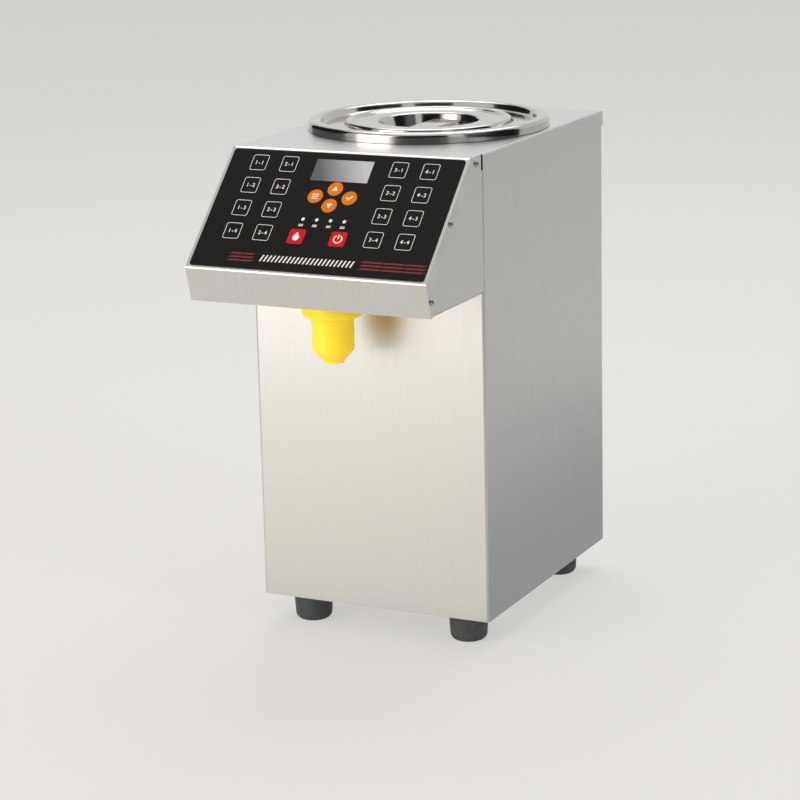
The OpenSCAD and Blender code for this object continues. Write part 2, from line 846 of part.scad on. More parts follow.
// Beside the number keys, half way between two rows
module at_board_fixings() {
    on_panel() for (x = [-1, 1], row = [0.5, 2.5])
        translate([x * (board_w / 2 - 5), film_top - row_top - row * row_pitch, 0]) children();
}

module keypad_board() {
    color(board_green) difference() {
        on_panel() {
            translate([-board_w / 2, board_margin, -board_drop - board_t])
                cube([board_w, board_len, board_t]);
            translate([main_plugs()[0].x + 16, socket_s - socket_len / 2,
                       -board_drop - board_t - socket_h])
                cube([socket_w, socket_len, socket_h + board_t / 2]);
        }
        at_board_fixings() translate([0, 0, -board_drop]) screw_hole();
    }
}

module at_main_fixings() {
    for (x = [-1, 1], y = [-1, 1])
        translate([main_x + x * (main_size.x / 2 - 5), main_y + y * (main_size.y / 2 - 5), sheet_t])
            children();
}

// Spacers and screws of both circuit boards
module board_fixings() {
    spacer_h = board_drop - sheet_t;
    color(zinc) {
        at_board_fixings() {
            translate([0, 0, -board_drop]) difference() {
                cylinder(h = spacer_h, d = spacer_d, $fn = 6);
                cylinder(h = spacer_h - 1, d = screw_d + 2 * fit);
            }
            translate([0, 0, -board_drop - board_t]) rotate([180, 0, 0])
                pan_screw(screw_d, screw_head_d, screw_head_h, screw_len);
        }
        at_main_fixings() {
            difference() {
                cylinder(h = main_spacer_h, d = spacer_d, $fn = 6);
                translate([0, 0, 1]) cylinder(h = main_spacer_h, d = screw_d + 2 * fit);
            }
            translate([0, 0, main_spacer_h + board_t])
                pan_screw(screw_d, screw_head_d, screw_head_h, screw_len);
        }
    }
}

// ---------------------------------------------------------------- feet

module feet() {
    color(rubber_grey) at_feet() rotate_extrude() difference() {
        polygon(concat([[0, 0]], rounded([[foot_d / 2, 0, 0], [foot_tip_d / 2, -foot_h, foot_round],
                                          [0, -foot_h, 0]])));
        translate([0, -foot_h - over]) square([foot_pocket_d / 2, foot_pocket_h + over]);
        translate([0, -foot_h]) square([foot_hole_d / 2, foot_h + over]);
    }
}

module foot_screws() {
    seat = -foot_h + foot_pocket_h;
    color(zinc) at_feet() {
        translate([0, 0, seat]) rotate([180, 0, 0])
            pan_screw(foot_screw_d, foot_screw_head.x, foot_screw_head.y, foot_screw_len);
        translate([0, 0, sheet_t]) hex_nut(foot_nut.x, foot_nut.y, foot_screw_d + fit);
    }
}

// ---------------------------------------------------------------- tank and lid

module at_tank() {
    translate([0, tank_y, casing_h]) children();
}

// Inner face of the tank from its outlet to its rim, as (radius, height)
function tank_face() = rounded([
    [outlet_r, tank_floor, 0], [20, tank_floor, 8], [tank_r, -tank_depth, 14],
    [tank_r, rim_h - bead_r, 0]
]);

module tank() {
    color(bright_steel) at_tank() rotate_extrude() {
        sheet_edge(tank_face(), tank_t);
        translate([tank_r + tank_t / 2, gasket_t]) square([flange_r - tank_r - tank_t / 2, tank_t]);
        translate([tank_r + bead_r + 0.2, rim_h - bead_r]) circle(r = bead_r);
    }
}

module tank_gasket() {
    color(milky) at_tank() linear_extrude(gasket_t) difference() {
        circle(r = flange_r);
        circle(r = cover_hole_r);
    }
}

// Outlet screwed through the tank's floor, with a barb for the hose
module tank_outlet() {
    floor_top = tank_floor;
    low = tank_floor - tank_t;
    color(zinc) at_tank() difference() {
        rotate_extrude() {
            translate([0, floor_top]) square([15, 2]);
            translate([0, low]) square([outlet_r - fit, tank_t + 1]);
            translate([0, low - 8]) square([14, 8]);
            translate([0, low - outlet_len]) square([barb_d / 2, outlet_len]);
        }
        translate([0, 0, low - outlet_len - over]) cylinder(h = outlet_len + tank_t + 4, d = bore_d);
    }
}

// Heating mat wrapped round the tank, open at the back
module heater_band() {
    color(amber) at_tank() translate([0, 0, -tank_depth + 20]) linear_extrude(heater_h)
        difference() {
            circle(r = tank_out + shaft_fit + heater_t);
            circle(r = tank_out + shaft_fit);
            translate([-5, 0]) square([10, tank_out + 2 * heater_t]);
        }
}

// Outer face of the lid from its skirt to its middle, as (radius, height)
function lid_face() = rounded([
    [lid_r, lid_low, 0], [lid_r, lid_edge_h, 4], [lid_r - 9, lid_edge_h, 3.5],
    [tank_r + 1, channel_z, 3], [lid_ring_r + 1, channel_z, 2], [lid_ring_r, ring_z, 2.5],
    [lid_ring_r - 6, ring_z, 2.5], [lid_ring_r - 8, middle_z, 3], [recess_r, middle_z, 2.5],
    [recess_r - recess_taper, recess_floor, 3], [0, recess_floor, 0]
]);

module lid() {
    color(bright_steel) at_tank() rotate_extrude() {
        sheet_edge(lid_face(), -lid_t);
        translate([tank_r - 1.5 - lid_t, channel_z - lid_t - spigot_h])
            square([lid_t, spigot_h + lid_t / 2]);
    }
}

// Radius of the recess's wall at a height
function recess_at(z) = recess_r - recess_taper * (middle_z - z) / recess_h;
// How far the strap's square corners reach before they meet the round wall
function strap_at(z) = sqrt(pow(recess_at(z) - 0.6, 2) - pow(strap_w / 2, 2));

// Flat strap across the recess, with its ends turned down against the wall
module lid_handle() {
    top = middle_z - 0.5;
    low = middle_z - strap_drop;
    half = [[strap_at(low), low, 0], [strap_at(top), top, 1.5 * strap_t], [0, top, 0]];
    other = [for (p = reversed(half)) [-p[0], p[1], p[2]]];
    path = rounded([half[0], half[1], other[1], other[2]]);
    color(bright_steel) at_tank() across(strap_w) sheet_edge(path, -strap_t);
}

// ---------------------------------------------------------------- gear pump

function involute(angle) = tan(angle) * 180 / PI - angle;
function flank_angle(r) = involute(acos(base_r / max(r, base_r)));

// Half the angle that a tooth covers at radius r
function half_tooth(r) =
    90 / teeth - backlash / pitch_r * 45 / PI + involute(pressure_angle) - flank_angle(r);

function polar(r, a) = r * [cos(a), sin(a)];

// One tooth, from the root on one side to the root on the other
function tooth(turn) =
    let (steps = 7, radii = [for (i = [0 : steps]) base_r + (tip_r - base_r) * i / steps])
    concat(
        [polar(root_r, turn - half_tooth(base_r) - 1.5)],
        [for (r = radii) polar(r, turn - half_tooth(r))],
        [for (i = [steps : -1 : 0]) polar(radii[i], turn + half_tooth(radii[i]))],
        [polar(root_r, turn + half_tooth(base_r) + 1.5)]
    );

// A gear and its shaft along X; its first tooth points up
module pump_gear(turn, shaft_from, shaft_to) {
    along_x(pump_x + side_gap) linear_extrude(gear_w)
        polygon([for (i = [0 : teeth - 1]) each tooth(180 + turn + i * 360 / teeth)]);
    along_x(shaft_from) cylinder(h = shaft_to - shaft_from, d = shaft_d);
}

module at_drive() {
    translate([0, pump_y, shaft_z]) children();
}

module at_idler() {
    translate([0, pump_y, idler_z]) children();
}

module drive_gear() {
    color(gear_steel) at_drive()
        pump_gear(0, pump_x - bearing_len, motor_x + motor_bore_len - 0.5);
}

module driven_gear() {
    color(gear_steel) at_idler()
        pump_gear(180 / teeth, pump_x - bearing_len, pump_x + chamber_w + bearing_len);
}

// Outline of the pump, seen along its shafts, as (Y, Z)
module pump_outline(r) {
    translate([pump_y, shaft_z]) circle(r = r);
    translate([pump_y, idler_z]) circle(r = r);
    translate([pump_y - r, shaft_z]) square([2 * r, gear_span]);
}

module at_pump_bolts() {
    r = chamber_r + pump_rim / 2;
    for (side = [-1, 1]) {
        translate([0, pump_y + side * r * cos(35), shaft_z - r * sin(35)]) children();
        translate([0, pump_y + side * r * cos(35), idler_z + r * sin(35)]) children();
    }
}

// A barbed port that points along Y, its boss cut flush with the cover's face
module port_barb(side) {
    boss_r = barb_d / 2 + 3;
    translate([0, pump_y, port_z]) rotate([-side * 90, 0, 0]) {
        intersection() {
            cylinder(h = port_len, r = boss_r);
            translate([pump_x, -boss_r, 0]) cube([2 * boss_r, 2 * boss_r, port_len]);
        }
        cylinder(h = port_len + port_barb_len, d = barb_d);
    }
}

module pump_body() {
    tip = port_len + port_barb_len;
    color(gear_steel) difference() {
        union() {
            translate([pump_x + (chamber_w + pump_wall) / 2, 0, 0])
                across(chamber_w + pump_wall) pump_outline(chamber_r + pump_rim);
            for (side = [-1, 1]) port_barb(side);
        }
        translate([pump_x + chamber_w / 2 - over / 2, 0, 0]) across(chamber_w + over) {
            translate([pump_y, shaft_z]) circle(r = chamber_r);
            translate([pump_y, idler_z]) circle(r = chamber_r);
        }
        translate([0, pump_y, port_z]) rotate([90, 0, 0])
            cylinder(h = 2 * tip + 2 * over, d = bore_d, center = true);
        at_drive() along_x(pump_x) cylinder(h = 2 * pump_wall + chamber_w,
                                            d = shaft_d + 2 * shaft_fit);
        at_idler() along_x(pump_x) cylinder(h = chamber_w + bearing_len + 0.5,
                                            d = shaft_d + 2 * shaft_fit);
    }
}

module pump_cover() {
    color(gear_steel) difference() {
        union() {
            translate([pump_x - pump_cover_t / 2, 0, 0]) across(pump_cover_t)
                pump_outline(chamber_r + pump_rim);
            at_pump_bolts() along_x(pump_x - pump_cover_t - 3) cylinder(h = 3 + over, d = 6.5);
        }
        for (z = [shaft_z, idler_z]) translate([0, pump_y, z])
            along_x(pump_x - bearing_len - 0.5) cylinder(h = pump_cover_t, d = shaft_d + 2 * shaft_fit);
    }
}

// Upright plate between pump and motor, with a foot on the base tray
module pump_bracket() {
    top = idler_z + chamber_r + pump_rim;
    color(zinc) difference() {
        union() {
            translate([bracket_x, pump_y - bracket_w / 2, sheet_t])
                cube([bracket_t, bracket_w, top - sheet_t]);
            translate([bracket_x, pump_y - bracket_w / 2, sheet_t])
                cube([bracket_foot_len, bracket_w, bracket_t]);
        }
        at_drive() along_x(bracket_x - over) cylinder(h = bracket_t + 2 * over, d = shaft_d + 4);
    }
}

module motor() {
    color(motor_grey) at_drive() difference() {
        along_x(motor_x) rotate_extrude()
            polygon(concat([[0, 0]], rounded([[motor_d / 2, 0, 0], [motor_d / 2, motor_len, 4],
                                              [0, motor_len, 0]])));
        along_x(motor_x - over) cylinder(h = motor_bore_len + over, d = shaft_d + 2 * shaft_fit);
    }
}

// ---------------------------------------------------------------- hoses and nozzle

outlet_z = casing_h + tank_floor - tank_t - outlet_len;

// From the tank's outlet down and forwards into the pump
module suction_hose() {
    start_z = outlet_z + barb_len;
    color(milky) hose_run([[0, tank_y, start_z], [0, tank_y, port_z],
                           [0, pump_y + port_len, port_z]]);
}

// From the pump to the column's front, up beside its middle, across and down to the nozzle
module delivery_hose() {
    rise_x = 2 * hose_bend + 0.5;
    color(milky) hose_run([[0, pump_y - port_len, port_z], [0, hose_front_y, port_z],
                           [rise_x, hose_front_y, port_z], [rise_x, hose_front_y, hose_peak],
                           [-nozzle_side, hose_front_y, hose_peak],
                           [-nozzle_side, -nozzle_out, hose_peak],
                           [-nozzle_side, -nozzle_out, head_z + shank_h + 2]]);
}

module nozzle() {
    low = head_z - collar_h;
    mouth = low - barrel_h - taper_h;
    color(yellow) translate([-nozzle_side, -nozzle_out, 0]) difference() {
        rotate_extrude() {
            polygon(concat([[0, mouth]], rounded([
                [mouth_d / 2, mouth, 0], [mouth_d / 2 + 0.5, mouth + 2, 0.5],
                [barrel_d / 2, low - barrel_h, barrel_round], [barrel_d / 2, low, 1],
                [collar_d / 2, low, 4], [collar_d / 2, head_z, 0]]), [[0, head_z]]));
            translate([0, head_z - over]) square([shank_d / 2, shank_h + over]);
            translate([0, head_z]) square([barb_d / 2 + 2, shank_h + 2]);
            translate([0, head_z]) square([barb_d / 2, shank_h + barb_len + 2]);
        }
        translate([0, 0, mouth - over])
            cylinder(h = nozzle_top - mouth + 2 * over, d = bore_d);
        translate([0, 0, mouth - over]) cylinder(h = taper_h, d = mouth_d - 6);
    }
}

module nozzle_nut() {
    color(yellow) translate([-nozzle_side, -nozzle_out, head_z + sheet_t])
        hex_nut(shank_d + 10, nozzle_nut_t, shank_d + 2 * fit);
}

// ---------------------------------------------------------------- electrics

module main_board() {
    color(board_green) difference() {
        union() {
            translate([main_x, main_y, main_top - board_t / 2]) cube(main_size, center = true);
            for (plug = main_plugs())
                translate([plug.x, plug.y, main_top - over]) linear_extrude(plug_h + over)
                    square([12, 9], center = true);
            translate([main_x + 8, main_y - 10, main_top - over]) cube([18, 18, 4 + over]);
        }
        at_main_fixings() translate([0, 0, main_spacer_h]) screw_hole();
    }
}

// Sockets on the main board: key panel, motor, heater and supply
function main_plugs() = [
    [main_x - 10, main_y - main_size.y / 2 + 14],
    [main_x + 14, pump_y],
    [main_x - 18, main_y - 12],
    [main_x + 20, main_y + main_size.y / 2 - 8]
];

module power_supply() {
    color(zinc) translate([supply_x, supply_y, sheet_t]) difference() {
        linear_extrude(supply_size.z) square([supply_size.x, supply_size.y], center = true);
        for (row = [-3 : 3], col = [-3 : 3])
            translate([col * 14, row * 10, supply_size.z - 1]) cylinder(h = 2, d = 5);
    }
}

module at_inlet_screws() {
    for (side = [-1, 1])
        translate([-inlet_out + side * inlet_screw_pitch / 2, casing_d + inlet_flange.z, mains_z])
            rotate([-90, 0, 0]) children();
}

// Mains inlet with three blades, screwed to the rear panel from outside
module power_inlet() {
    corner = 4;
    color(black) translate([-inlet_out, 0, mains_z]) {
        difference() {
            union() {
                forwards(casing_d + inlet_flange.z, inlet_flange.z)
                    rounded_plate(inlet_flange.x, inlet_flange.y, 5);
                forwards(casing_d + over, inlet_body.z + over)
                    square([inlet_body.x, inlet_body.y], center = true);
            }
            forwards(casing_d + inlet_flange.z + over, inlet_cavity.z + over) {
                half = [inlet_cavity.x, inlet_cavity.y] / 2;
                polygon([[-half.x, -half.y], [half.x, -half.y], [half.x, half.y - corner],
                         [half.x - corner, half.y], [-half.x + corner, half.y],
                         [-half.x, half.y - corner]]);
            }
            for (side = [-1, 1]) translate([side * inlet_screw_pitch / 2, casing_d, 0])
                rotate([-90, 0, 0]) screw_hole();
        }
        for (pin = [[-pin_spread, -pin_drop], [pin_spread, -pin_drop], [0, pin_drop]])
            translate([pin.x - pin_size.x / 2,
                       casing_d + inlet_flange.z - inlet_cavity.z - 1, pin.y - pin_size.z / 2])
                cube([pin_size.x, pin_size.y + 1, pin_size.z]);
    }
}

// Case of the mains switch, with a bore in each cheek for the rocker's pins
module switch_housing() {
    color(black) translate([switch_out, 0, mains_z]) difference() {
        union() {
            forwards(casing_d + switch_bezel.z, switch_bezel.z)
                rounded_plate(switch_bezel.x, switch_bezel.y, 2);
            forwards(casing_d + over, switch_body.z + over)
                square([switch_body.x, switch_body.y], center = true);
        }
        forwards(casing_d + switch_bezel.z + over, 16)
            square([rocker_w + 2 * run_gap, 2 * rocker_room], center = true);
        translate([0, pivot_y, 0]) rotate([0, 90, 0])
            cylinder(h = switch_body.x - 1.4, d = rocker_pin_d + 2 * shaft_fit, center = true);
    }
}

// Rocker in its off position, turned about the pins in the switch's cheeks
module power_rocker() {
    half = rocker_len / 2;
    color(red) translate([switch_out, pivot_y, mains_z]) rotate([-rocker_half, 0, 0]) {
        across(rocker_w) polygon([
            [rocker_face, 0], [rocker_edge, half], [1.5, half], [-4, 3], [-4, -3], [1.5, -half],
            [rocker_edge, -half]]);
        rotate([0, 90, 0]) cylinder(h = switch_body.x - 2, d = rocker_pin_d, center = true);
    }
}

// Leads between the boards, the supply, the motor, the heater and the mains pieces
module wiring() {
    supply_top = sheet_t + supply_size.z;
    plug_top = main_top + plug_h;
    plugs = main_plugs();
    supply_front = supply_y - supply_size.y / 2;
    lead_y = supply_y + supply_size.y / 2 - 50;
    socket = knee + socket_s * slope_dir
        + right_of(slope_dir) * (board_drop + board_t + socket_h / 2);
    color(black) {
        lead([[-inlet_out, casing_d - inlet_body.z, mains_z], [-inlet_out, lead_y, mains_z],
              [-inlet_out, lead_y, supply_top]]);
        lead([[switch_out - lead_side, casing_d - switch_body.z, mains_z],
              [switch_out - lead_side, lead_y, mains_z],
              [switch_out - lead_side, lead_y, supply_top]]);
        lead([[plugs[3].x, supply_front, main_top + plug_h / 2],
              [plugs[3].x, plugs[3].y + 4.5, main_top + plug_h / 2]]);
        lead([[motor_x + motor_len / 2, pump_y, shaft_z + motor_d / 2 - 0.04],
              [motor_x + motor_len / 2, pump_y, idler_z + chamber_r + pump_rim + 12],
              [plugs[1].x, pump_y, idler_z + chamber_r + pump_rim + 12],
              [plugs[1].x, plugs[1].y, plug_top]]);
        lead([[plugs[2].x, plugs[2].y, casing_h - tank_depth + 20],
              [plugs[2].x, plugs[2].y, plug_top]]);
        lead([[plugs[0].x + 16, socket.x, socket.y], [plugs[0].x, socket.x, socket.y],
              [plugs[0].x, plugs[0].y, socket.y], [plugs[0].x, plugs[0].y, plug_top]]);
    }
}

module lead(route) {
    bar_run(route, lead_d / 2, lead_bend);
}

// ---------------------------------------------------------------- the dispenser

on_feet() casing_wrap();
on_feet() back_panel();
on_feet() base_plate();
on_feet() top_cover();
on_feet() head_shell();
on_feet() control_panel();
on_feet() keypad_overlay();
on_feet() display_window();
on_feet() display_module();
on_feet() indicator_leds();
on_feet() keypad_board();
on_feet() key_switches();
on_feet() board_fixings();
on_feet() cover_screws();
on_feet() feet();
on_feet() foot_screws();
on_feet() tank();
on_feet() tank_gasket();
on_feet() tank_outlet();
on_feet() heater_band();
on_feet() suction_hose();
on_feet() pump_body();
on_feet() pump_cover();
on_feet() pump_bracket();
on_feet() motor();
on_feet() delivery_hose();
on_feet() nozzle();
on_feet() nozzle_nut();
on_feet() main_board();
on_feet() power_supply();
on_feet() power_inlet();
on_feet() switch_housing();
on_feet() wiring();
on_feet() lid();
on_feet() lid_handle();
on_feet() drive_gear();
on_feet() driven_gear();
on_feet() power_rocker();
on_feet() round_key(0);  // key_up
on_feet() round_key(1);  // key_down
on_feet() round_key(2);  // key_left
on_feet() round_key(3);  // key_right
on_feet() square_key(-1);  // key_rinse
on_feet() square_key(1);  // key_pour
for (column = [1 : 4], row = [1 : 4])
    on_feet() number_key(column, row);
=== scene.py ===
"""Finishes, printed marks and studio for a countertop syrup dispenser with a key panel."""

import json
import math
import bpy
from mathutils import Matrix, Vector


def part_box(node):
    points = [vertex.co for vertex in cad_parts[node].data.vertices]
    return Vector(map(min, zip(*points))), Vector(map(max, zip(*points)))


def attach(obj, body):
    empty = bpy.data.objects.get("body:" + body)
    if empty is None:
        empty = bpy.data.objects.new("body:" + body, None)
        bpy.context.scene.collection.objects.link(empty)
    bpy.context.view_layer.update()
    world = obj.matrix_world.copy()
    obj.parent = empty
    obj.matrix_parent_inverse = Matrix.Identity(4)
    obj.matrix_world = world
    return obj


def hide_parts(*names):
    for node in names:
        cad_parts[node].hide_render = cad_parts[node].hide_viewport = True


bl_info = {
    "name": "Syrup dispenser",
    "version": (1, 0, 0),
    "blender": (4, 5, 0),
    "location": "3D View > Sidebar > Dispenser",
    "description": "Finishes, printed marks and studio of a countertop syrup dispenser",
    "category": "Object",
}

import bmesh
import bpy
from mathutils import Matrix, Vector

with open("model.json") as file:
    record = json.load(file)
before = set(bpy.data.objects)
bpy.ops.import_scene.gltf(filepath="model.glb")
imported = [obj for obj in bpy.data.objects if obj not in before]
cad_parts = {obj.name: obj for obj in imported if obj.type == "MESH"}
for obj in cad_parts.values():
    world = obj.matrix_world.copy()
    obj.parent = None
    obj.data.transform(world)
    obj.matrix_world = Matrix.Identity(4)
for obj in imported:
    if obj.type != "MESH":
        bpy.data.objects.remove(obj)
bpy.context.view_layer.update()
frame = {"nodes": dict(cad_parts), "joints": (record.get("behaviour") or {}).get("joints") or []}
MM = 0.001
KEY_JOINT = next(j for j in frame["joints"] if j["name"] == "key_1_1_press")

# Directions of the sloping key panel: across it, up it and out of it
PANEL_OUT = -Vector(KEY_JOINT["axis"]).normalized()
PANEL_ACROSS = Vector((1, 0, 0))
PANEL_UP = PANEL_OUT.cross(PANEL_ACROSS)


def linear(hex_colour):
    """The linear colour that a shader takes, from an sRGB hex value."""
    value = int(hex_colour.lstrip("#"), 16)
    parts = [(value >> shift & 255) / 255 for shift in (16, 8, 0)]
    return tuple(c / 12.92 if c <= 0.04045 else ((c + 0.055) / 1.055) ** 2.4 for c in parts) + (1,)


def length(name, description, millimetres):
    """A size that the user can change, shown in Blender's length unit."""
    return bpy.props.FloatProperty(name=name, description=description, unit="LENGTH",
                                   default=millimetres * MM, min=0, precision=5)


def colour(name, description, hex_colour):
    """A colour that the user can change."""
    return bpy.props.FloatVectorProperty(name=name, description=description, subtype="COLOR",
                                         size=4, min=0, max=1, default=linear(hex_colour))


# ---------------------------------------------------------------- sizes and colours


class DispenserSizes(bpy.types.PropertyGroup):
    """Sizes of the lid, of what is printed on the key panel and of the steel's grain."""

    lid_sheet: length("Lid sheet", "Thickness of the lid's sheet", 1.0)
    lid_gap: length("Lid gap", "From the top cover up to the lid's skirt", 0.3)
    skirt_room: length("Skirt room", "From the tank's flange to the lid's skirt", 2.5)
    lid_edge: length("Lid edge", "Height of the lid's rolled edge above the top cover", 10.0)
    lid_edge_width: length("Lid edge width", "Width of the lid's rolled edge", 11.6)
    lid_channel: length("Lid channel", "Height of the channel inside the edge", 3.3)
    spigot: length("Spigot", "Height of the ring that enters the tank", 10.0)
    lid_ring: length("Lid ring", "Height of the raised ring above the channel", 5.0)
    ring_radius: length("Ring radius", "Outer radius of the raised ring", 80.0)
    recess_radius: length("Recess radius", "Radius of the finger recess", 49.0)
    recess_depth: length("Recess depth", "Depth of the finger recess", 20.0)
    strap_width: length("Strap width", "Width of the strap across the recess", 26.0)
    strap_sink: length("Strap sink", "From the lid's raised middle down to the strap", 5.5)
    strap_sheet: length("Strap sheet", "Thickness of the strap", 2.0)
    strap_end: length("Strap end", "How far the strap's ends turn down", 7.5)
    ink: length("Ink", "Height of the printed ink above the film", 0.05)
    outline: length("Outline", "Width of the line round a number key", 0.5)
    outline_inset: length("Outline inset", "From a key's edge to its line", 0.3)
    outline_corner: length("Outline corner", "Corner radius of that line", 2.2)
    number: length("Number", "Height of the numbers on the keys", 4.0)
    stroke: length("Stroke", "Width of the strokes in the signs", 1.1)
    grain: length("Grain", "Width of one line of the brushed grain", 0.6)


class DispenserColours(bpy.types.PropertyGroup):
    """Colours of the finishes and of the ink."""

    steel: colour("Steel", "Brushed stainless sheet", "#CACAC9")
    steel_line: colour("Steel line", "Darker lines of the grain", "#C1C1C0")
    bright: colour("Bright steel", "Polished stainless sheet", "#BDBBB7")
    film: colour("Film", "Black of the key panel's film", "#0B0907")
    white_ink: colour("White ink", "Numbers and signs", "#F4F2EE")
    grey_ink: colour("Grey ink", "Lines round the keys", "#93918D")
    stripe_ink: colour("Stripe ink", "Dark red stripes", "#6E1618")
    orange: colour("Orange", "Round keys", "#D66C0A")
    red: colour("Red", "Square keys", "#BC141C")
    yellow: colour("Yellow", "Nozzle", "#FFE61E")
    rubber: colour("Rubber", "Feet", "#393B3D")


def sizes():
    """The scene's sizes, as the user left them."""
    return bpy.context.scene.dispenser_sizes


def colours():
    """The scene's colours, as the user left them."""
    return bpy.context.scene.dispenser_colours


# ---------------------------------------------------------------- node trees


def add(tree, kind, values=None, links=None, **settings):
    """Adds a node with its settings, its sockets' values and its links from other nodes."""
    node = tree.nodes.new(kind)
    for name, value in settings.items():
        setattr(node, name, value)
    for socket, value in (values or {}).items():
        node.inputs[socket].default_value = value
    for socket, source in (links or {}).items():
        tree.links.new(source, node.inputs[socket])
    return node


def finish_named(name, **values):
    """An empty finish: its material, its node tree and its shader with these values."""
    made = bpy.data.materials.new(name)
    made.use_nodes = True
    tree = made.node_tree
    tree.nodes.clear()
    shader = add(tree, "ShaderNodeBsdfPrincipled",
                 values={key.replace("_", " "): value for key, value in values.items()})
    add(tree, "ShaderNodeOutputMaterial", links={"Surface": shader.outputs[0]})
    return made, tree, shader


def pattern(tree, scale, stretch=(1, 1, 1), detail=2, roughness=0.5):
    """Noise on the object's own coordinates, with a feature size of 1 / scale metres."""
    place = add(tree, "ShaderNodeTexCoord")
    mapped = add(tree, "ShaderNodeMapping", values={"Scale": stretch},
                 links={"Vector": place.outputs["Object"]})
    return add(tree, "ShaderNodeTexNoise",
               values={"Scale": scale, "Detail": detail, "Roughness": roughness},
               links={"Vector": mapped.outputs["Vector"]}).outputs["Fac"]


def spread(tree, source, low, high, start=0.3, end=0.7):
    """The pattern's value moved to a range of numbers."""
    return add(tree, "ShaderNodeMapRange", links={"Value": source},
               values={"From Min": start, "From Max": end, "To Min": low,
                       "To Max": high}).outputs["Result"]


def tinted(tree, shader, source, first, second, start=0.3, end=0.7):
    """The pattern as a blend of two colours in the shader's base colour."""
    ramp = add(tree, "ShaderNodeValToRGB", links={"Fac": source})
    ramp.color_ramp.elements[0].position = start
    ramp.color_ramp.elements[0].color = first
    ramp.color_ramp.elements[1].position = end
    ramp.color_ramp.elements[1].color = second
    tree.links.new(ramp.outputs["Color"], shader.inputs["Base Color"])


def raised(tree, shader, source, depth, strength=1.0):
    """The pattern as relief, depth metres deep."""
    bump = add(tree, "ShaderNodeBump", values={"Distance": depth, "Strength": strength},
               links={"Height": source})
    tree.links.new(bump.outputs["Normal"], shader.inputs["Normal"])


# ---------------------------------------------------------------- finishes


def brushed_steel(name, along):
    """Stainless sheet, brushed: grey metal whose long parallel lines blur what it mirrors.

    The real grain is about 0.1 mm wide. It is drawn as wide as it needs to be to show.
    """
    ink = colours()
    made, tree, shader = finish_named(name, Metallic=1.0, Roughness=0.34)
    stretch = [0.012 if axis in along else 1 for axis in "xyz"]
    lines = pattern(tree, 1 / sizes().grain, stretch, detail=3, roughness=0.6)
    tinted(tree, shader, lines, ink.steel_line, ink.steel)
    tree.links.new(spread(tree, lines, 0.4, 0.29), shader.inputs["Roughness"])
    raised(tree, shader, lines, 0.02 * MM, 0.35)
    return made


def polished_steel(name, roughness=0.1):
    """Stainless sheet, pressed and polished: a mirror with a faint cloudiness."""
    made, tree, shader = finish_named(name, Metallic=1.0, Roughness=roughness,
                                      Base_Color=colours().bright)
    cloud = pattern(tree, 1 / (18 * MM), detail=3)
    tree.links.new(spread(tree, cloud, roughness, roughness * 1.3), shader.inputs["Roughness"])
    raised(tree, shader, cloud, 0.05 * MM, 0.25)
    return made


def machined_steel(name, first, second, roughness=0.3):
    """Stainless or zinc-plated steel, turned or stamped: satin metal with small tool marks."""
    made, tree, shader = finish_named(name, Metallic=1.0, Roughness=roughness)
    marks = pattern(tree, 1 / (0.8 * MM), (1, 1, 0.2), detail=3)
    tinted(tree, shader, marks, linear(first), linear(second))
    tree.links.new(spread(tree, marks, roughness * 1.2, roughness * 0.8),
                   shader.inputs["Roughness"])
    raised(tree, shader, marks, 0.01 * MM, 0.4)
    return made


def printed_film(name, base, lift, roughness=0.32):
    """Polyester film, printed on its underside: even colour under a fine satin texture."""
    made, tree, shader = finish_named(name, Roughness=roughness, IOR=1.57, Specular_IOR_Level=0.12)
    texture = pattern(tree, 1 / (0.7 * MM), detail=2)
    tinted(tree, shader, texture, base, lift)
    tree.links.new(spread(tree, texture, roughness * 0.85, roughness * 1.15),
                   shader.inputs["Roughness"])
    raised(tree, shader, texture, 0.01 * MM, 0.2)
    return made


def screen_ink(name, base):
    """Screen-printed ink: opaque and matt, a little uneven in its cover."""
    made, tree, shader = finish_named(name, Roughness=0.5)
    thin = tuple(c * 0.86 for c in base[:3]) + (1,)
    tinted(tree, shader, pattern(tree, 1 / (1.2 * MM), detail=2), thin, base)
    return made


def moulded(name, base, roughness=0.4, grit=0.6, lift=1.25):
    """Injection-moulded plastic: even colour with the fine spark texture of its mould."""
    made, tree, shader = finish_named(name, Roughness=roughness)
    texture = pattern(tree, 1 / (grit * MM), detail=3)
    tinted(tree, shader, texture, base, tuple(min(1, c * lift) for c in base[:3]) + (1,))
    tree.links.new(spread(tree, texture, roughness * 1.15, roughness * 0.85),
                   shader.inputs["Roughness"])
    raised(tree, shader, texture, 0.02 * MM, 0.3)
    return made


def yellow_nylon(name):
    """Nylon, moulded, yellow: light goes a little way in, so that shade turns to orange.

    The faint warm glow is painted light: an emission that lightens the shaded side towards orange,
    standing for the light that comes through the thin wall from behind.
    """
    # painted light: the warm emission makes the nylon glow and lightens its shade towards orange,
    # though it is no lamp
    made, tree, shader = finish_named(name, Roughness=0.34, IOR=1.5, Subsurface_Weight=0.8,
                                      Subsurface_Scale=9 * MM, Subsurface_Radius=(1.0, 0.4, 0.04),
                                      Emission_Color=linear("#FF9A00"), Emission_Strength=0.2)
    texture = pattern(tree, 1 / (2.5 * MM), detail=2)
    tinted(tree, shader, texture, colours().yellow, linear("#FFEC3C"))
    raised(tree, shader, texture, 0.03 * MM, 0.2)
    return made


def foot_rubber(name):
    """Rubber, moulded, dark grey: dull, with the powdery bloom of rubber that has stood."""
    made, tree, shader = finish_named(name, Roughness=0.62)
    bloom = pattern(tree, 1 / (6 * MM), detail=5, roughness=0.65)
    tinted(tree, shader, bloom, colours().rubber, linear("#494C4E"))
    grit = pattern(tree, 1 / (0.7 * MM), detail=2)
    raised(tree, shader, grit, 0.04 * MM, 0.4)
    return made


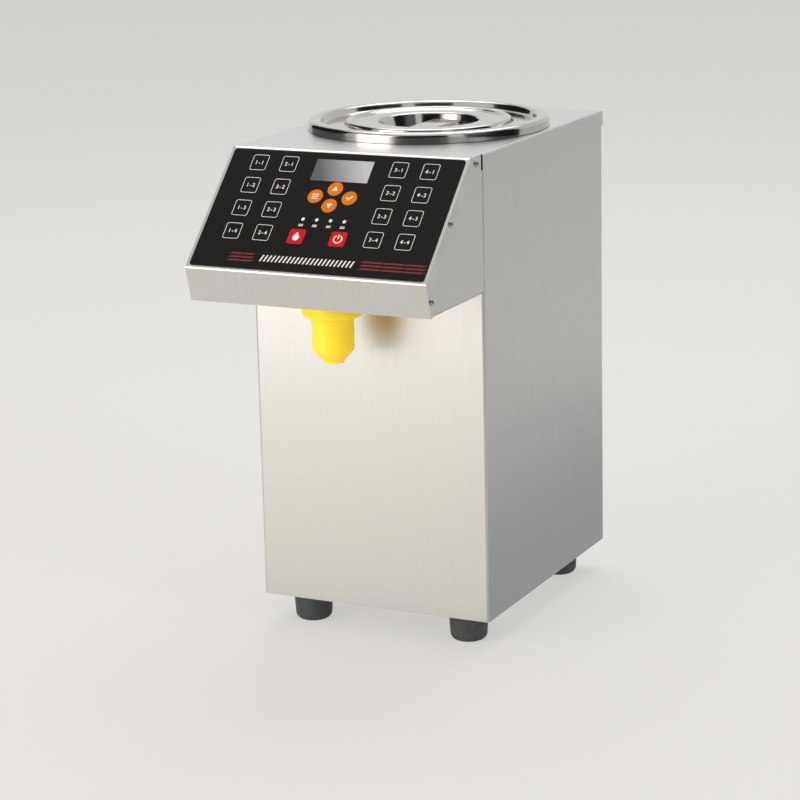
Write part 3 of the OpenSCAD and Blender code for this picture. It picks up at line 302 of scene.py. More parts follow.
def display_glass(name):
    """Grey display under a clear window, with a painted reflection: its colour is painted lighter
    to the right.
    """
    made, tree, shader = finish_named(name, Roughness=0.12, IOR=1.5, Coat_Weight=0.6,
                                      Coat_Roughness=0.04)
    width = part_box("display_window")[1][0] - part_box("display_window")[0][0]
    place = add(tree, "ShaderNodeTexCoord")
    centred = add(tree, "ShaderNodeVectorMath", operation="SUBTRACT",
                  values={1: middle_of("display_window")}, links={0: place.outputs["Object"]})
    across = add(tree, "ShaderNodeVectorMath", operation="DOT_PRODUCT",
                 values={1: (PANEL_ACROSS + PANEL_UP * 0.45) / width},
                 links={0: centred.outputs["Vector"]})
    # painted reflection: the base colour runs from dark grey at the lower left to light grey at the
    # right
    shade = add(tree, "ShaderNodeMapRange", links={"Value": across.outputs["Value"]},
                values={"From Min": -0.5, "From Max": 0.5})
    tinted(tree, shader, shade.outputs["Result"], linear("#4A4B4F"), linear("#BABBBE"), 0.1, 0.9)
    return made


def milky_silicone(name):
    """Silicone, extruded: milky and half clear, with a soft shine."""
    made, tree, shader = finish_named(name, Roughness=0.35, IOR=1.43, Transmission_Weight=0.35,
                                      Subsurface_Weight=0.3, Subsurface_Scale=3 * MM)
    tinted(tree, shader, pattern(tree, 1 / (9 * MM)), linear("#DDE1E0"), linear("#ECEFEE"))
    return made


def circuit_board(name):
    """Epoxy glass board under green solder mask: tracks show as lighter, raised green."""
    made, tree, shader = finish_named(name, Roughness=0.35, IOR=1.55)
    place = add(tree, "ShaderNodeTexCoord")
    tracks = add(tree, "ShaderNodeTexBrick", offset=0.5, squash=1.0,
                 values={"Scale": 1 / (5 * MM), "Mortar Size": 0.04, "Color1": linear("#1C6B3C"),
                         "Color2": linear("#17603A"), "Mortar": linear("#3E9A5C")},
                 links={"Vector": place.outputs["Object"]})
    tree.links.new(tracks.outputs["Color"], shader.inputs["Base Color"])
    raised(tree, shader, tracks.outputs["Fac"], 0.03 * MM, 0.4)
    return made


def dress(finish, *names):
    """Gives these CAD nodes the finish."""
    for name in names:
        node = frame["nodes"][name]
        node.data.materials.clear()
        node.data.materials.append(finish)


# ---------------------------------------------------------------- shapes


def middle_of(name):
    """The middle of a CAD node's box."""
    low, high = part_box(name)
    return (Vector(low) + Vector(high)) / 2


def span_of(name, direction):
    """How far a CAD node reaches along a direction: its least and its greatest."""
    reach = [vertex.co.dot(direction) for vertex in frame["nodes"][name].data.vertices]
    return min(reach), max(reach)


def extent_of(name, direction):
    """The size of a CAD node along a direction."""
    least, greatest = span_of(name, direction)
    return greatest - least


def face_of(name):
    """The matrix that puts a drawing in the XY plane on the middle of a panel piece's face."""
    placed = Matrix((PANEL_ACROSS, PANEL_UP, PANEL_OUT)).transposed().to_4x4()
    middles = (way * sum(span_of(name, way)) / 2 for way in (PANEL_ACROSS, PANEL_UP))
    placed.translation = sum(middles, PANEL_OUT * span_of(name, PANEL_OUT)[1])
    return placed


def solids_of(name):
    """The lowest and highest corner of each solid in a CAD node."""
    shape = bmesh.new()
    shape.from_mesh(frame["nodes"][name].data)
    bmesh.ops.remove_doubles(shape, verts=shape.verts, dist=0.005 * MM)
    left, found = set(shape.verts), []
    while left:
        solid, waiting = set(), [left.pop()]
        while waiting:
            vertex = waiting.pop()
            solid.add(vertex)
            near = {edge.other_vert(vertex) for edge in vertex.link_edges} & left
            left -= near
            waiting.extend(near)
        found.append(tuple(Vector([pick(v.co[i] for v in solid) for i in range(3)])
                           for pick in (min, max)))
    shape.free()
    return found


def rounded_square(width, height, corner, steps=6):
    """The points of a rectangle with round corners, counter-clockwise round the origin."""
    points = []
    for turn, (side_x, side_y) in enumerate([(1, 1), (-1, 1), (-1, -1), (1, -1)]):
        centre = Vector((side_x * (width / 2 - corner), side_y * (height / 2 - corner)))
        points += [centre + point for point in arc(corner, 90 * turn, 90 * turn + 90, steps)]
    return points


def placed_in_scene(name, data):
    """A new object of this mesh, curve, lamp or camera in the scene."""
    made = bpy.data.objects.new(name, data)
    bpy.context.scene.collection.objects.link(made)
    return made


def finished_mesh(holder):
    """The plain mesh that an object's modifiers or curves come to."""
    bpy.context.view_layer.update()
    return bpy.data.meshes.new_from_object(holder.evaluated_get(
        bpy.context.evaluated_depsgraph_get()))


def print_area(shape, outline, height, finish_index=0, hole=None):
    """Adds a flat closed print with this outline, and with a hole of as many points if given."""
    underside = 0.004 * MM
    rings = [[shape.verts.new((p[0], p[1], z)) for p in path]
             for path in ([outline] if hole is None else [outline, hole])
             for z in (underside, height)]
    count = len(outline)
    faces = []
    for i in range(count):
        j = (i + 1) % count
        faces.append((rings[0][i], rings[0][j], rings[1][j], rings[1][i]))
        if hole is not None:
            faces.append((rings[2][j], rings[2][i], rings[3][i], rings[3][j]))
            faces.append((rings[1][i], rings[1][j], rings[3][j], rings[3][i]))
            faces.append((rings[0][j], rings[0][i], rings[2][i], rings[2][j]))
    if hole is None:
        faces += [tuple(rings[1]), tuple(reversed(rings[0]))]
    for corners in faces:
        shape.faces.new(corners).material_index = finish_index


def print_numbers(shape, text, height, ink):
    """Adds plain numbers, this high and round the origin, as a flat closed print."""
    drawn = bpy.data.curves.new("numbers", "FONT")
    drawn.body = text
    drawn.align_x = "CENTER"
    drawn.extrude = 0.5             # as thick as one unit, which the ink's height then scales
    drawn.offset = 0.012            # a little bolder than the plain font
    drawn.space_character = 1.3     # and spaced more widely
    holder = placed_in_scene("numbers", drawn)
    mesh = finished_mesh(holder)
    low = min(v.co.y for v in mesh.vertices)
    high = max(v.co.y for v in mesh.vertices)
    size = height / (high - low)
    mesh.transform(Matrix.Translation((0, 0, ink / 2)) @ Matrix.Diagonal((size, size, ink, 1))
                   @ Matrix.Translation((0, -(low + high) / 2, 0)))
    shape.from_mesh(mesh)
    bpy.data.objects.remove(holder)
    bpy.data.curves.remove(drawn)
    bpy.data.meshes.remove(mesh)


def bar(long, tall, middle=(0, 0)):
    """The corners of an upright rectangle."""
    return [Vector(middle) + Vector((x * long / 2, y * tall / 2))
            for x, y in ((-1, -1), (1, -1), (1, 1), (-1, 1))]


def arc(radius, start, end, steps):
    """Points along a circle round the origin, between two angles in degrees."""
    angles = [math.radians(start + (end - start) * i / steps) for i in range(steps + 1)]
    return [radius * Vector((math.cos(angle), math.sin(angle))) for angle in angles]


def arc_band(radius, width, start, end, steps):
    """The outline of part of a ring between two angles in degrees."""
    return (arc(radius + width / 2, start, end, steps)
            + arc(radius - width / 2, start, end, steps)[::-1])


def filleted(corners, steps=12):
    """The line through (x, y, radius) corners, with each corner turned on its radius."""
    line = []
    for before, (x, y, radius), after in zip([None] + corners, corners, corners[1:] + [None]):
        corner = Vector((x, y))
        if not radius:
            line.append(corner)
            continue
        back, on = ((Vector(end[:2]) - corner).normalized() for end in (before, after))
        half = back.angle(on) / 2
        centre = corner + (back + on).normalized() * radius / math.sin(half)
        start, end = (corner + way * radius / math.tan(half) - centre for way in (back, on))
        line += [centre + radius * start.lerp(end, step / steps).normalized()
                 for step in range(steps + 1)]
    return line


def beside(line, distance):
    """The line that runs at this distance to the left of another."""
    moved = []
    for before, point, after in zip([line[0]] + line, line, line[1:] + [line[-1]]):
        way = (after - before).normalized()
        moved.append(point + distance * Vector((-way.y, way.x)))
    return moved


def turned(shape, profile, steps):
    """Adds the surface that a line of (radius, height) points makes as it turns about Z."""
    angles = [math.tau * i / steps for i in range(steps)]
    rings = [[shape.verts.new((r * math.cos(a), r * math.sin(a), z)) for a in angles]
             if r > 1e-9 else [shape.verts.new((0, 0, z))] for r, z in profile]
    for upper, lower in zip(rings, rings[1:]):
        for i in range(steps):
            j = (i + 1) % steps
            corners = [upper[i % len(upper)], lower[i % len(lower)], lower[j % len(lower)],
                       upper[j % len(upper)]]
            shape.faces.new(list(dict.fromkeys(corners)))


def bent_strip(shape, line, thickness, width):
    """Adds a strip of sheet along a (reach, height) line in the YZ plane."""
    outline = line + beside(line, thickness)[::-1]
    left, right = ([shape.verts.new((side * width / 2, y, z)) for y, z in outline]
                   for side in (-1, 1))
    for i in range(len(outline)):
        shape.faces.new((left[i - 1], left[i], right[i], right[i - 1]))
    for ring in (left, right):
        for i in range(len(line) - 1):
            shape.faces.new((ring[i], ring[i + 1], ring[-2 - i], ring[-1 - i]))


def smooth_but_for_edges(made, degrees=30):
    """Shades a piece smooth, and keeps the edges that are sharper than this angle."""
    for face in made.data.polygons:
        face.use_smooth = True
    made.data.set_sharp_from_angle(angle=math.radians(degrees))


def piece(name, shape, body, finishes, place=None):
    """Makes a shape a piece of the object, in place, that rides on a body."""
    mesh = bpy.data.meshes.new(name)
    if place is not None:
        shape.transform(place)
    shape.to_mesh(mesh)
    shape.free()
    return piece_of_mesh(name, mesh, body, finishes)


def piece_of_mesh(name, mesh, body, finishes):
    """Makes a mesh a piece of the object that rides on a body."""
    mesh.name = name
    mesh.materials.clear()
    for finish in finishes:
        mesh.materials.append(finish)
    made = placed_in_scene(name, mesh)
    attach(made, body)
    return made


# ---------------------------------------------------------------- geometry nodes


def named_tree(name, inputs):
    """A geometry node tree with these named inputs, and its two end nodes."""
    tree = bpy.data.node_groups.new(name, "GeometryNodeTree")
    tree.interface.new_socket(name="Geometry", in_out="INPUT", socket_type="NodeSocketGeometry")
    for label, kind in inputs.items():
        tree.interface.new_socket(name=label, in_out="INPUT", socket_type="NodeSocket" + kind)
    tree.interface.new_socket(name="Geometry", in_out="OUTPUT", socket_type="NodeSocketGeometry")
    return tree, add(tree, "NodeGroupInput"), add(tree, "NodeGroupOutput")


def grown(tree, base_mesh, values):
    """The plain mesh that the tree makes from a base mesh and these named inputs."""
    holder = placed_in_scene("grown", base_mesh)
    modifier = holder.modifiers.new("tree", "NODES")
    modifier.node_group = tree
    for item in tree.interface.items_tree:
        if item.in_out == "INPUT" and item.name in values:
            modifier[item.identifier] = values[item.name]
    mesh = finished_mesh(holder)
    holder.modifiers.remove(modifier)
    bpy.data.objects.remove(holder)
    return mesh


def stroke_rows_tree():
    """Leaning strokes in columns and rows, centred on the origin."""
    tree, given, result = named_tree("stroke_rows", {
        "Columns": "Int", "Rows": "Int", "Column Pitch": "Float", "Row Pitch": "Float",
        "Length": "Float", "Height": "Float", "Lean": "Float", "Ink": "Float",
        "Finish": "Material"})
    take = given.outputs
    size = add(tree, "ShaderNodeCombineXYZ",
               links={"X": take["Length"], "Y": take["Height"], "Z": take["Ink"]})
    block = add(tree, "GeometryNodeMeshCube", links={"Size": size.outputs[0]})
    place = add(tree, "GeometryNodeInputPosition")
    apart = add(tree, "ShaderNodeSeparateXYZ", links={"Vector": place.outputs[0]})
    lean = add(tree, "ShaderNodeMath", operation="MULTIPLY",
               links={0: apart.outputs["Y"], 1: take["Lean"]})
    shift = add(tree, "ShaderNodeCombineXYZ", links={"X": lean.outputs[0]})
    leaning = add(tree, "GeometryNodeSetPosition",
                  links={"Geometry": block.outputs["Mesh"], "Offset": shift.outputs[0]})
    shape = leaning.outputs[0]
    for count, pitch, axis in (("Columns", "Column Pitch", "X"), ("Rows", "Row Pitch", "Y")):
        step = add(tree, "ShaderNodeCombineXYZ", links={axis: take[pitch]})
        fewer = add(tree, "ShaderNodeMath", operation="SUBTRACT", values={1: 1},
                    links={0: take[count]})
        half = add(tree, "ShaderNodeMath", operation="MULTIPLY", values={1: -0.5},
                   links={0: fewer.outputs[0]})
        start = add(tree, "ShaderNodeVectorMath", operation="SCALE",
                    links={0: step.outputs[0], "Scale": half.outputs[0]})
        line = add(tree, "GeometryNodeMeshLine",
                   links={"Count": take[count], "Start Location": start.outputs[0],
                          "Offset": step.outputs[0]})
        spots = add(tree, "GeometryNodeInstanceOnPoints",
                    links={"Points": line.outputs[0], "Instance": shape})
        shape = add(tree, "GeometryNodeRealizeInstances",
                    links={"Geometry": spots.outputs[0]}).outputs[0]
    inked = add(tree, "GeometryNodeSetMaterial",
                links={"Geometry": shape, "Material": take["Finish"]})
    tree.links.new(inked.outputs[0], result.inputs[0])
    return tree


def screw_heads_tree():
    """One screw on each point of the base mesh, standing along the point's facing."""
    tree, given, result = named_tree("screw_heads", {"Screw": "Object", "Finish": "Material"})
    facing = add(tree, "GeometryNodeInputNamedAttribute", data_type="FLOAT_VECTOR",
                 values={"Name": "facing"})
    upright = add(tree, "FunctionNodeAlignRotationToVector", axis="Z",
                  links={"Vector": facing.outputs["Attribute"]})
    screw = add(tree, "GeometryNodeObjectInfo", links={"Object": given.outputs["Screw"]})
    spots = add(tree, "GeometryNodeInstanceOnPoints",
                links={"Points": given.outputs["Geometry"],
                       "Instance": screw.outputs["Geometry"],
                       "Rotation": upright.outputs["Rotation"]})
    plain = add(tree, "GeometryNodeRealizeInstances", links={"Geometry": spots.outputs[0]})
    done = add(tree, "GeometryNodeSetMaterial",
               links={"Geometry": plain.outputs[0], "Material": given.outputs["Finish"]})
    tree.links.new(done.outputs[0], result.inputs[0])
    return tree


# ---------------------------------------------------------------- operators


class Piece:
    """What every operator here shares: no options, and a finished result."""

    bl_options = {"REGISTER", "UNDO"}

    def execute(self, context):
        self.make()
        return {"FINISHED"}


class DISPENSER_OT_sheet_steel(Piece, bpy.types.Operator):
    """Brushes the casing, the head and the covers"""

    bl_idname = "dispenser.sheet_steel"
    bl_label = "Sheet steel"

    def make(self):
        dress(brushed_steel("brushed_steel_upright", "z"), "casing_wrap", "head_shell",
              "back_panel")
        dress(brushed_steel("brushed_steel_top", "y"), "top_cover", "base_plate")
        dress(brushed_steel("brushed_steel_panel", "yz"), "control_panel")


class DISPENSER_OT_lid(Piece, bpy.types.Operator):
    """Turns the pressed lid, bends its strap and finishes them, the tank and the hoses"""

    bl_idname = "dispenser.lid"
    bl_label = "Lid and tank"

    def make(self):
        dress(polished_steel("satin_steel", 0.2), "tank")
        dress(milky_silicone("milky_silicone"), "tank_gasket", "suction_hose", "delivery_hose")
        flange_radius = extent_of("tank", Vector((1, 0, 0))) / 2
        seat = middle_of("tank")
        seat.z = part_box("top_cover")[1][2]
        polished = polished_steel("polished_steel")
        for name, shape, node in (("pressed_lid", self.lid(flange_radius), "lid"),
                                  ("lid_strap", self.strap(), "lid_handle")):
            bmesh.ops.recalc_face_normals(shape, faces=shape.faces)
            made = piece(name, shape, "lid", [polished],
                         Matrix.Translation(seat))
            smooth_but_for_edges(made)
            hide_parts(node)

    def lid(self, flange_radius):
        """The lid's sheet from its skirt to its middle, and the spigot that enters the tank."""
        size, shape, steps = sizes(), bmesh.new(), 128
        rim = flange_radius + size.skirt_room + size.lid_sheet
        inner = rim - size.lid_edge_width
        channel, ring = size.lid_channel, size.ring_radius
        ring_top = channel + size.lid_ring
        floor = self.middle() - size.recess_depth
        face = filleted([
            (rim, size.lid_gap, 0), (rim, size.lid_edge, 4 * MM),
            (inner, size.lid_edge, 3.5 * MM), (inner - 2.7 * MM, channel, 3 * MM),
            (ring + 1 * MM, channel, 2 * MM), (ring, ring_top, 2.5 * MM),
            (ring - 6 * MM, ring_top, 2.5 * MM), (ring - 8 * MM, self.middle(), 3 * MM),
            (size.recess_radius, self.middle(), 2.5 * MM), (self.recess_at(floor), floor, 3 * MM),
            (0, floor, 0)])
        turned(shape, beside(face, size.lid_sheet)[::-1] + face, steps)
        outer = inner - 4.4 * MM
        low, high = channel - size.lid_sheet - size.spigot, channel - size.lid_sheet / 2
        turned(shape, [(outer, low), (outer, high), (outer - size.lid_sheet, high),
                       (outer - size.lid_sheet, low), (outer, low)], steps)
        bmesh.ops.remove_doubles(shape, verts=shape.verts, dist=0.001 * MM)
        return shape

    def middle(self):
        """Height of the lid's middle, 2 mm under the raised ring."""
        return sizes().lid_channel + sizes().lid_ring - 2 * MM

    def recess_at(self, height):
        """Radius of the recess's wall at this height: it narrows by 6 mm to its floor."""
        size = sizes()
        return size.recess_radius - 6 * MM * (self.middle() - height) / size.recess_depth

    def strap(self):
        """The strap, with its ends turned down 0.6 mm from the wall of the recess."""
        size, shape = sizes(), bmesh.new()
        top = self.middle() - size.strap_sink
        low = top - size.strap_end
        foot, shoulder = (math.sqrt((self.recess_at(height) - 0.6 * MM) ** 2
                                    - (size.strap_width / 2) ** 2) for height in (low, top))
        bend = 1.5 * size.strap_sheet
        line = filleted([(foot, low, 0), (shoulder, top, bend), (-shoulder, top, bend),
                         (-foot, low, 0)])
        bent_strip(shape, line, size.strap_sheet, size.strap_width)
        return shape


class DISPENSER_OT_key_panel(Piece, bpy.types.Operator):
    """Finishes the film, the display, the lamps and the keys"""

    bl_idname = "dispenser.key_panel"
    bl_label = "Key panel"

    def make(self):
        ink = colours()
        black = printed_film("printed_film_black", ink.film, linear("#12100D"))
        number_keys = [f"key_{c}_{r}" for c in range(1, 5) for r in range(1, 5)]
        dress(black, "keypad_overlay", *number_keys)
        dress(printed_film("printed_film_orange", ink.orange, linear("#E07A14"), 0.38),
              "key_up", "key_down", "key_left", "key_right")
        dress(printed_film("printed_film_red", ink.red, linear("#C81C24"), 0.38),
              "key_rinse", "key_pour")
        dress(display_glass("display_glass"), "display_window")
        dress(moulded("moulded_white_lens", linear("#F2F2EE"), 0.25), "indicator_leds")


class DISPENSER_OT_key_print(Piece, bpy.types.Operator):
    """Prints the lines, numbers and signs on the keys"""

    bl_idname = "dispenser.key_print"
    bl_label = "Print on the keys"

    def make(self):
        self.ink = sizes().ink
        self.white = screen_ink("screen_ink_white", colours().white_ink)
        self.grey = screen_ink("screen_ink_grey", colours().grey_ink)
        for column in range(1, 5):
            for row in range(1, 5):
                self.number_key(column, row)
        signs = {"key_up": self.arrow, "key_down": self.arrow_down, "key_left": self.bars,
                 "key_right": self.tick, "key_rinse": self.drop, "key_pour": self.power}
        for key, draw in signs.items():
            shape = bmesh.new()
            draw(shape)
            self.put(key, shape)

    def put(self, key, shape):
        """Lays a drawing on its key, which it rides on."""
        piece(key + "_print", shape, key, [self.white, self.grey], face_of(key))

    def number_key(self, column, row):
        """A line round the key's edge, with the key's column and row in it."""
        key = f"key_{column}_{row}"
        wide, tall = (extent_of(key, way) - 2 * sizes().outline_inset
                      for way in (PANEL_ACROSS, PANEL_UP))
        line, corner = sizes().outline, sizes().outline_corner
        shape = bmesh.new()
        print_area(shape, rounded_square(wide, tall, corner), self.ink, 1,
                   rounded_square(wide - 2 * line, tall - 2 * line, corner - line))
        print_numbers(shape, f"{column}-{row}", sizes().number, self.ink)
        self.put(key, shape)

    def arrow(self, shape, way=1):
        """A triangle that points up the panel, or down it where way is -1."""
        tip, foot, half = 2.9 * MM * way, -2.0 * MM * way, 2.9 * MM * way
        print_area(shape, [Vector((-half, foot)), Vector((half, foot)), Vector((0, tip))],
                   self.ink)

    def arrow_down(self, shape):
        """The same triangle, pointing down."""
        self.arrow(shape, -1)

    def bars(self, shape):
        """Three level bars."""
        for level in (-1, 0, 1):
            print_area(shape, bar(6.6 * MM, sizes().stroke, (0, level * 2.3 * MM)), self.ink)

    def tick(self, shape):
        """A tick of one even stroke."""
        points = [(-0.8, -2.4), (3.6, 2.0), (2.6, 3.0), (-0.8, -0.4), (-2.3, 1.2), (-3.3, 0.2)]
        print_area(shape, [Vector(p) * MM for p in points], self.ink)

    def drop(self, shape):
        """A drop: a round foot whose sides run straight to its tip."""
        radius, tip, lower = 3.2 * MM, 6.2 * MM, Vector((0, -1.2 * MM))
        lean = math.degrees(math.acos(radius / tip))
        outline = arc(radius, 90 + lean, 450 - lean, 28) + [Vector((0, tip))]
        print_area(shape, [p + lower for p in outline], self.ink)

    def power(self, shape):
        """An open ring with an upright stroke in its gap."""
        stroke = 1.2 * MM
        print_area(shape, arc_band(4.0 * MM, stroke, 120, 420, 32), self.ink)
        print_area(shape, bar(stroke, 4.6 * MM, (0, 2.6 * MM)), self.ink)


class DISPENSER_OT_panel_print(Piece, bpy.types.Operator):
    """Prints the stripes, the strokes and the small signs on the film"""

    bl_idname = "dispenser.panel_print"
    bl_label = "Print on the film"

    def make(self):
        self.tree = stroke_rows_tree()
        white = bpy.data.materials["screen_ink_white"]
        red = screen_ink("screen_ink_red", colours().stripe_ink)
        self.strokes("title_strokes", white, middle=(-1.5, 12.6), columns=24, column_pitch=3.95,
                     long=1.5, tall=7.0, lean=0.3)
        self.strokes("stripes_left", red, middle=(-68, 12.4), columns=2, column_pitch=12.6,
                     rows=3, row_pitch=3.7, long=11.4, tall=1.7, lean=2.2)
        self.strokes("stripes_right", red, middle=(84, 12.4), columns=3, column_pitch=21.4,
                     rows=3, row_pitch=3.7, long=19.8, tall=1.7, lean=2.2)
        self.strokes("lamp_signs", white, middle=(0, 51.0), columns=4, column_pitch=14,
                     rows=2, row_pitch=1.5, long=4.6, tall=0.8)

    def strokes(self, name, finish, middle, columns, column_pitch, long, tall, rows=1,
                row_pitch=0, lean=0.0):
        """Strokes in columns and rows, in millimetres from the middle of the film's lower edge."""
        ink = sizes().ink
        mesh = grown(self.tree, bpy.data.meshes.new("base"), {
            "Columns": columns, "Rows": rows, "Column Pitch": column_pitch * MM,
            "Row Pitch": row_pitch * MM, "Length": long * MM, "Height": tall * MM, "Lean": lean,
            "Ink": ink, "Finish": finish})
        lower_edge = -extent_of("keypad_overlay", PANEL_UP) / 2
        mesh.transform(face_of("keypad_overlay") @ Matrix.Translation(
            (middle[0] * MM, lower_edge + middle[1] * MM, ink / 2)))
        piece_of_mesh(name, mesh, "casing", [finish])


class DISPENSER_OT_screws(Piece, bpy.types.Operator):
    """Puts cross-recessed screws on the covers and plates the inner fixings with zinc"""

    bl_idname = "dispenser.screws"
    bl_label = "Screws"

    def make(self):
        zinc = machined_steel("zinc_plated_steel", "#8F9296", "#B8BBBE", 0.28)
        dress(zinc, "board_fixings", "foot_screws", "pump_bracket")
        middle = middle_of("casing_wrap")
        places, facings = [], []
        for low, high in solids_of("cover_screws"):
            span = high - low
            axis = max(range(3), key=lambda i: span[i])
            top, out = (low + high) / 2, Vector((0, 0, 0))
            out[axis] = 1 if top[axis] > middle[axis] else -1
            top[axis] = high[axis] if out[axis] > 0 else low[axis]
            places.append(top)
            facings.append(out)
        base = bpy.data.meshes.new("screw_places")
        base.from_pydata(places, [], [])
        facing = base.attributes.new("facing", "FLOAT_VECTOR", "POINT")
        for point, out in zip(facing.data, facings):
            point.vector = out
        screw = self.screw(min(span), max(span))
        mesh = grown(screw_heads_tree(), base, {"Screw": screw, "Finish": zinc})
        bpy.data.objects.remove(screw)
        made = piece_of_mesh("cross_screws", mesh, "casing", [zinc])
        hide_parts("cover_screws")

    def screw(self, head, long):
        """A pan head with a cross recess and its shank, its top at the origin."""
        thick, slot_width, slot_depth, turned_by = 2.0 * MM, 0.9 * MM, 1.1 * MM, 20
        profile = [(0, 0), (head * 0.25, -0.04 * MM), (head / 2 - 1.1 * MM, -0.25 * MM),
                   (head / 2 - 0.35 * MM, -0.8 * MM), (head / 2, -1.5 * MM), (head / 2, -thick),
                   (head / 4, -thick), (head / 4, -long), (0, -long)]
        shape = bmesh.new()
        turned(shape, profile, 32)
        bmesh.ops.recalc_face_normals(shape, faces=shape.faces)
        body = self.loose("screw", shape)
        cutter = bmesh.new()
        for turn in (turned_by, turned_by + 90):
            made = bmesh.ops.create_cube(cutter, size=1)
            place = (Matrix.Rotation(math.radians(turn), 4, "Z")
                     @ Matrix.Diagonal((head * 0.58, slot_width, 2 * slot_depth, 1)))
            bmesh.ops.transform(cutter, matrix=place, verts=made["verts"])
        tool = self.loose("cross", cutter)
        cut = body.modifiers.new("cross", "BOOLEAN")
        cut.object = tool
        cut.operation = "DIFFERENCE"
        cut.solver = "EXACT"
        cut.use_self = True
        mesh = finished_mesh(body)
        body.modifiers.remove(cut)
        body.data = mesh
        bpy.data.objects.remove(tool)
        return body

    def loose(self, name, shape):
        """A helper object of this shape, which isn't a piece."""
        mesh = bpy.data.meshes.new(name)
        shape.to_mesh(mesh)
        shape.free()
        return placed_in_scene(name, mesh)


class DISPENSER_OT_nozzle(Piece, bpy.types.Operator):
    """Gives the nozzle its yellow nylon"""

    bl_idname = "dispenser.nozzle"
    bl_label = "Nozzle"

    def make(self):
        dress(yellow_nylon("yellow_nylon"), "nozzle", "nozzle_nut")


class DISPENSER_OT_feet(Piece, bpy.types.Operator):
    """Gives the feet their rubber"""

    bl_idname = "dispenser.feet"
    bl_label = "Feet"

    def make(self):
        dress(foot_rubber("moulded_rubber"), "feet")


class DISPENSER_OT_mains(Piece, bpy.types.Operator):
    """Finishes the mains inlet, the switches, the display's case and the wiring"""

    bl_idname = "dispenser.mains"
    bl_label = "Mains inlet and switch"

    def make(self):
        dress(moulded("moulded_black", linear("#161616")), "power_inlet", "switch_housing",
              "display_module", "wiring", "key_switches")
        dress(moulded("moulded_red", colours().red, 0.3), "power_rocker")


class DISPENSER_OT_inside(Piece, bpy.types.Operator):
    """Finishes the pump, the motor, the heater and the boards"""

    bl_idname = "dispenser.inside"
    bl_label = "Inside"

    def make(self):
        dress(machined_steel("machined_steel", "#83878B", "#A9ADB1", 0.25), "pump_body",
              "pump_cover", "drive_gear", "driven_gear", "tank_outlet")
        dress(machined_steel("galvanised_steel", "#9A9EA1", "#C3C6C8", 0.42), "power_supply")
        dress(moulded("enamel_grey", linear("#62656A"), 0.35), "motor")
        dress(moulded("silicone_mat_orange", linear("#C4662A"), 0.6, 2.0), "heater_band")
        dress(circuit_board("circuit_board_green"), "main_board", "keypad_board")


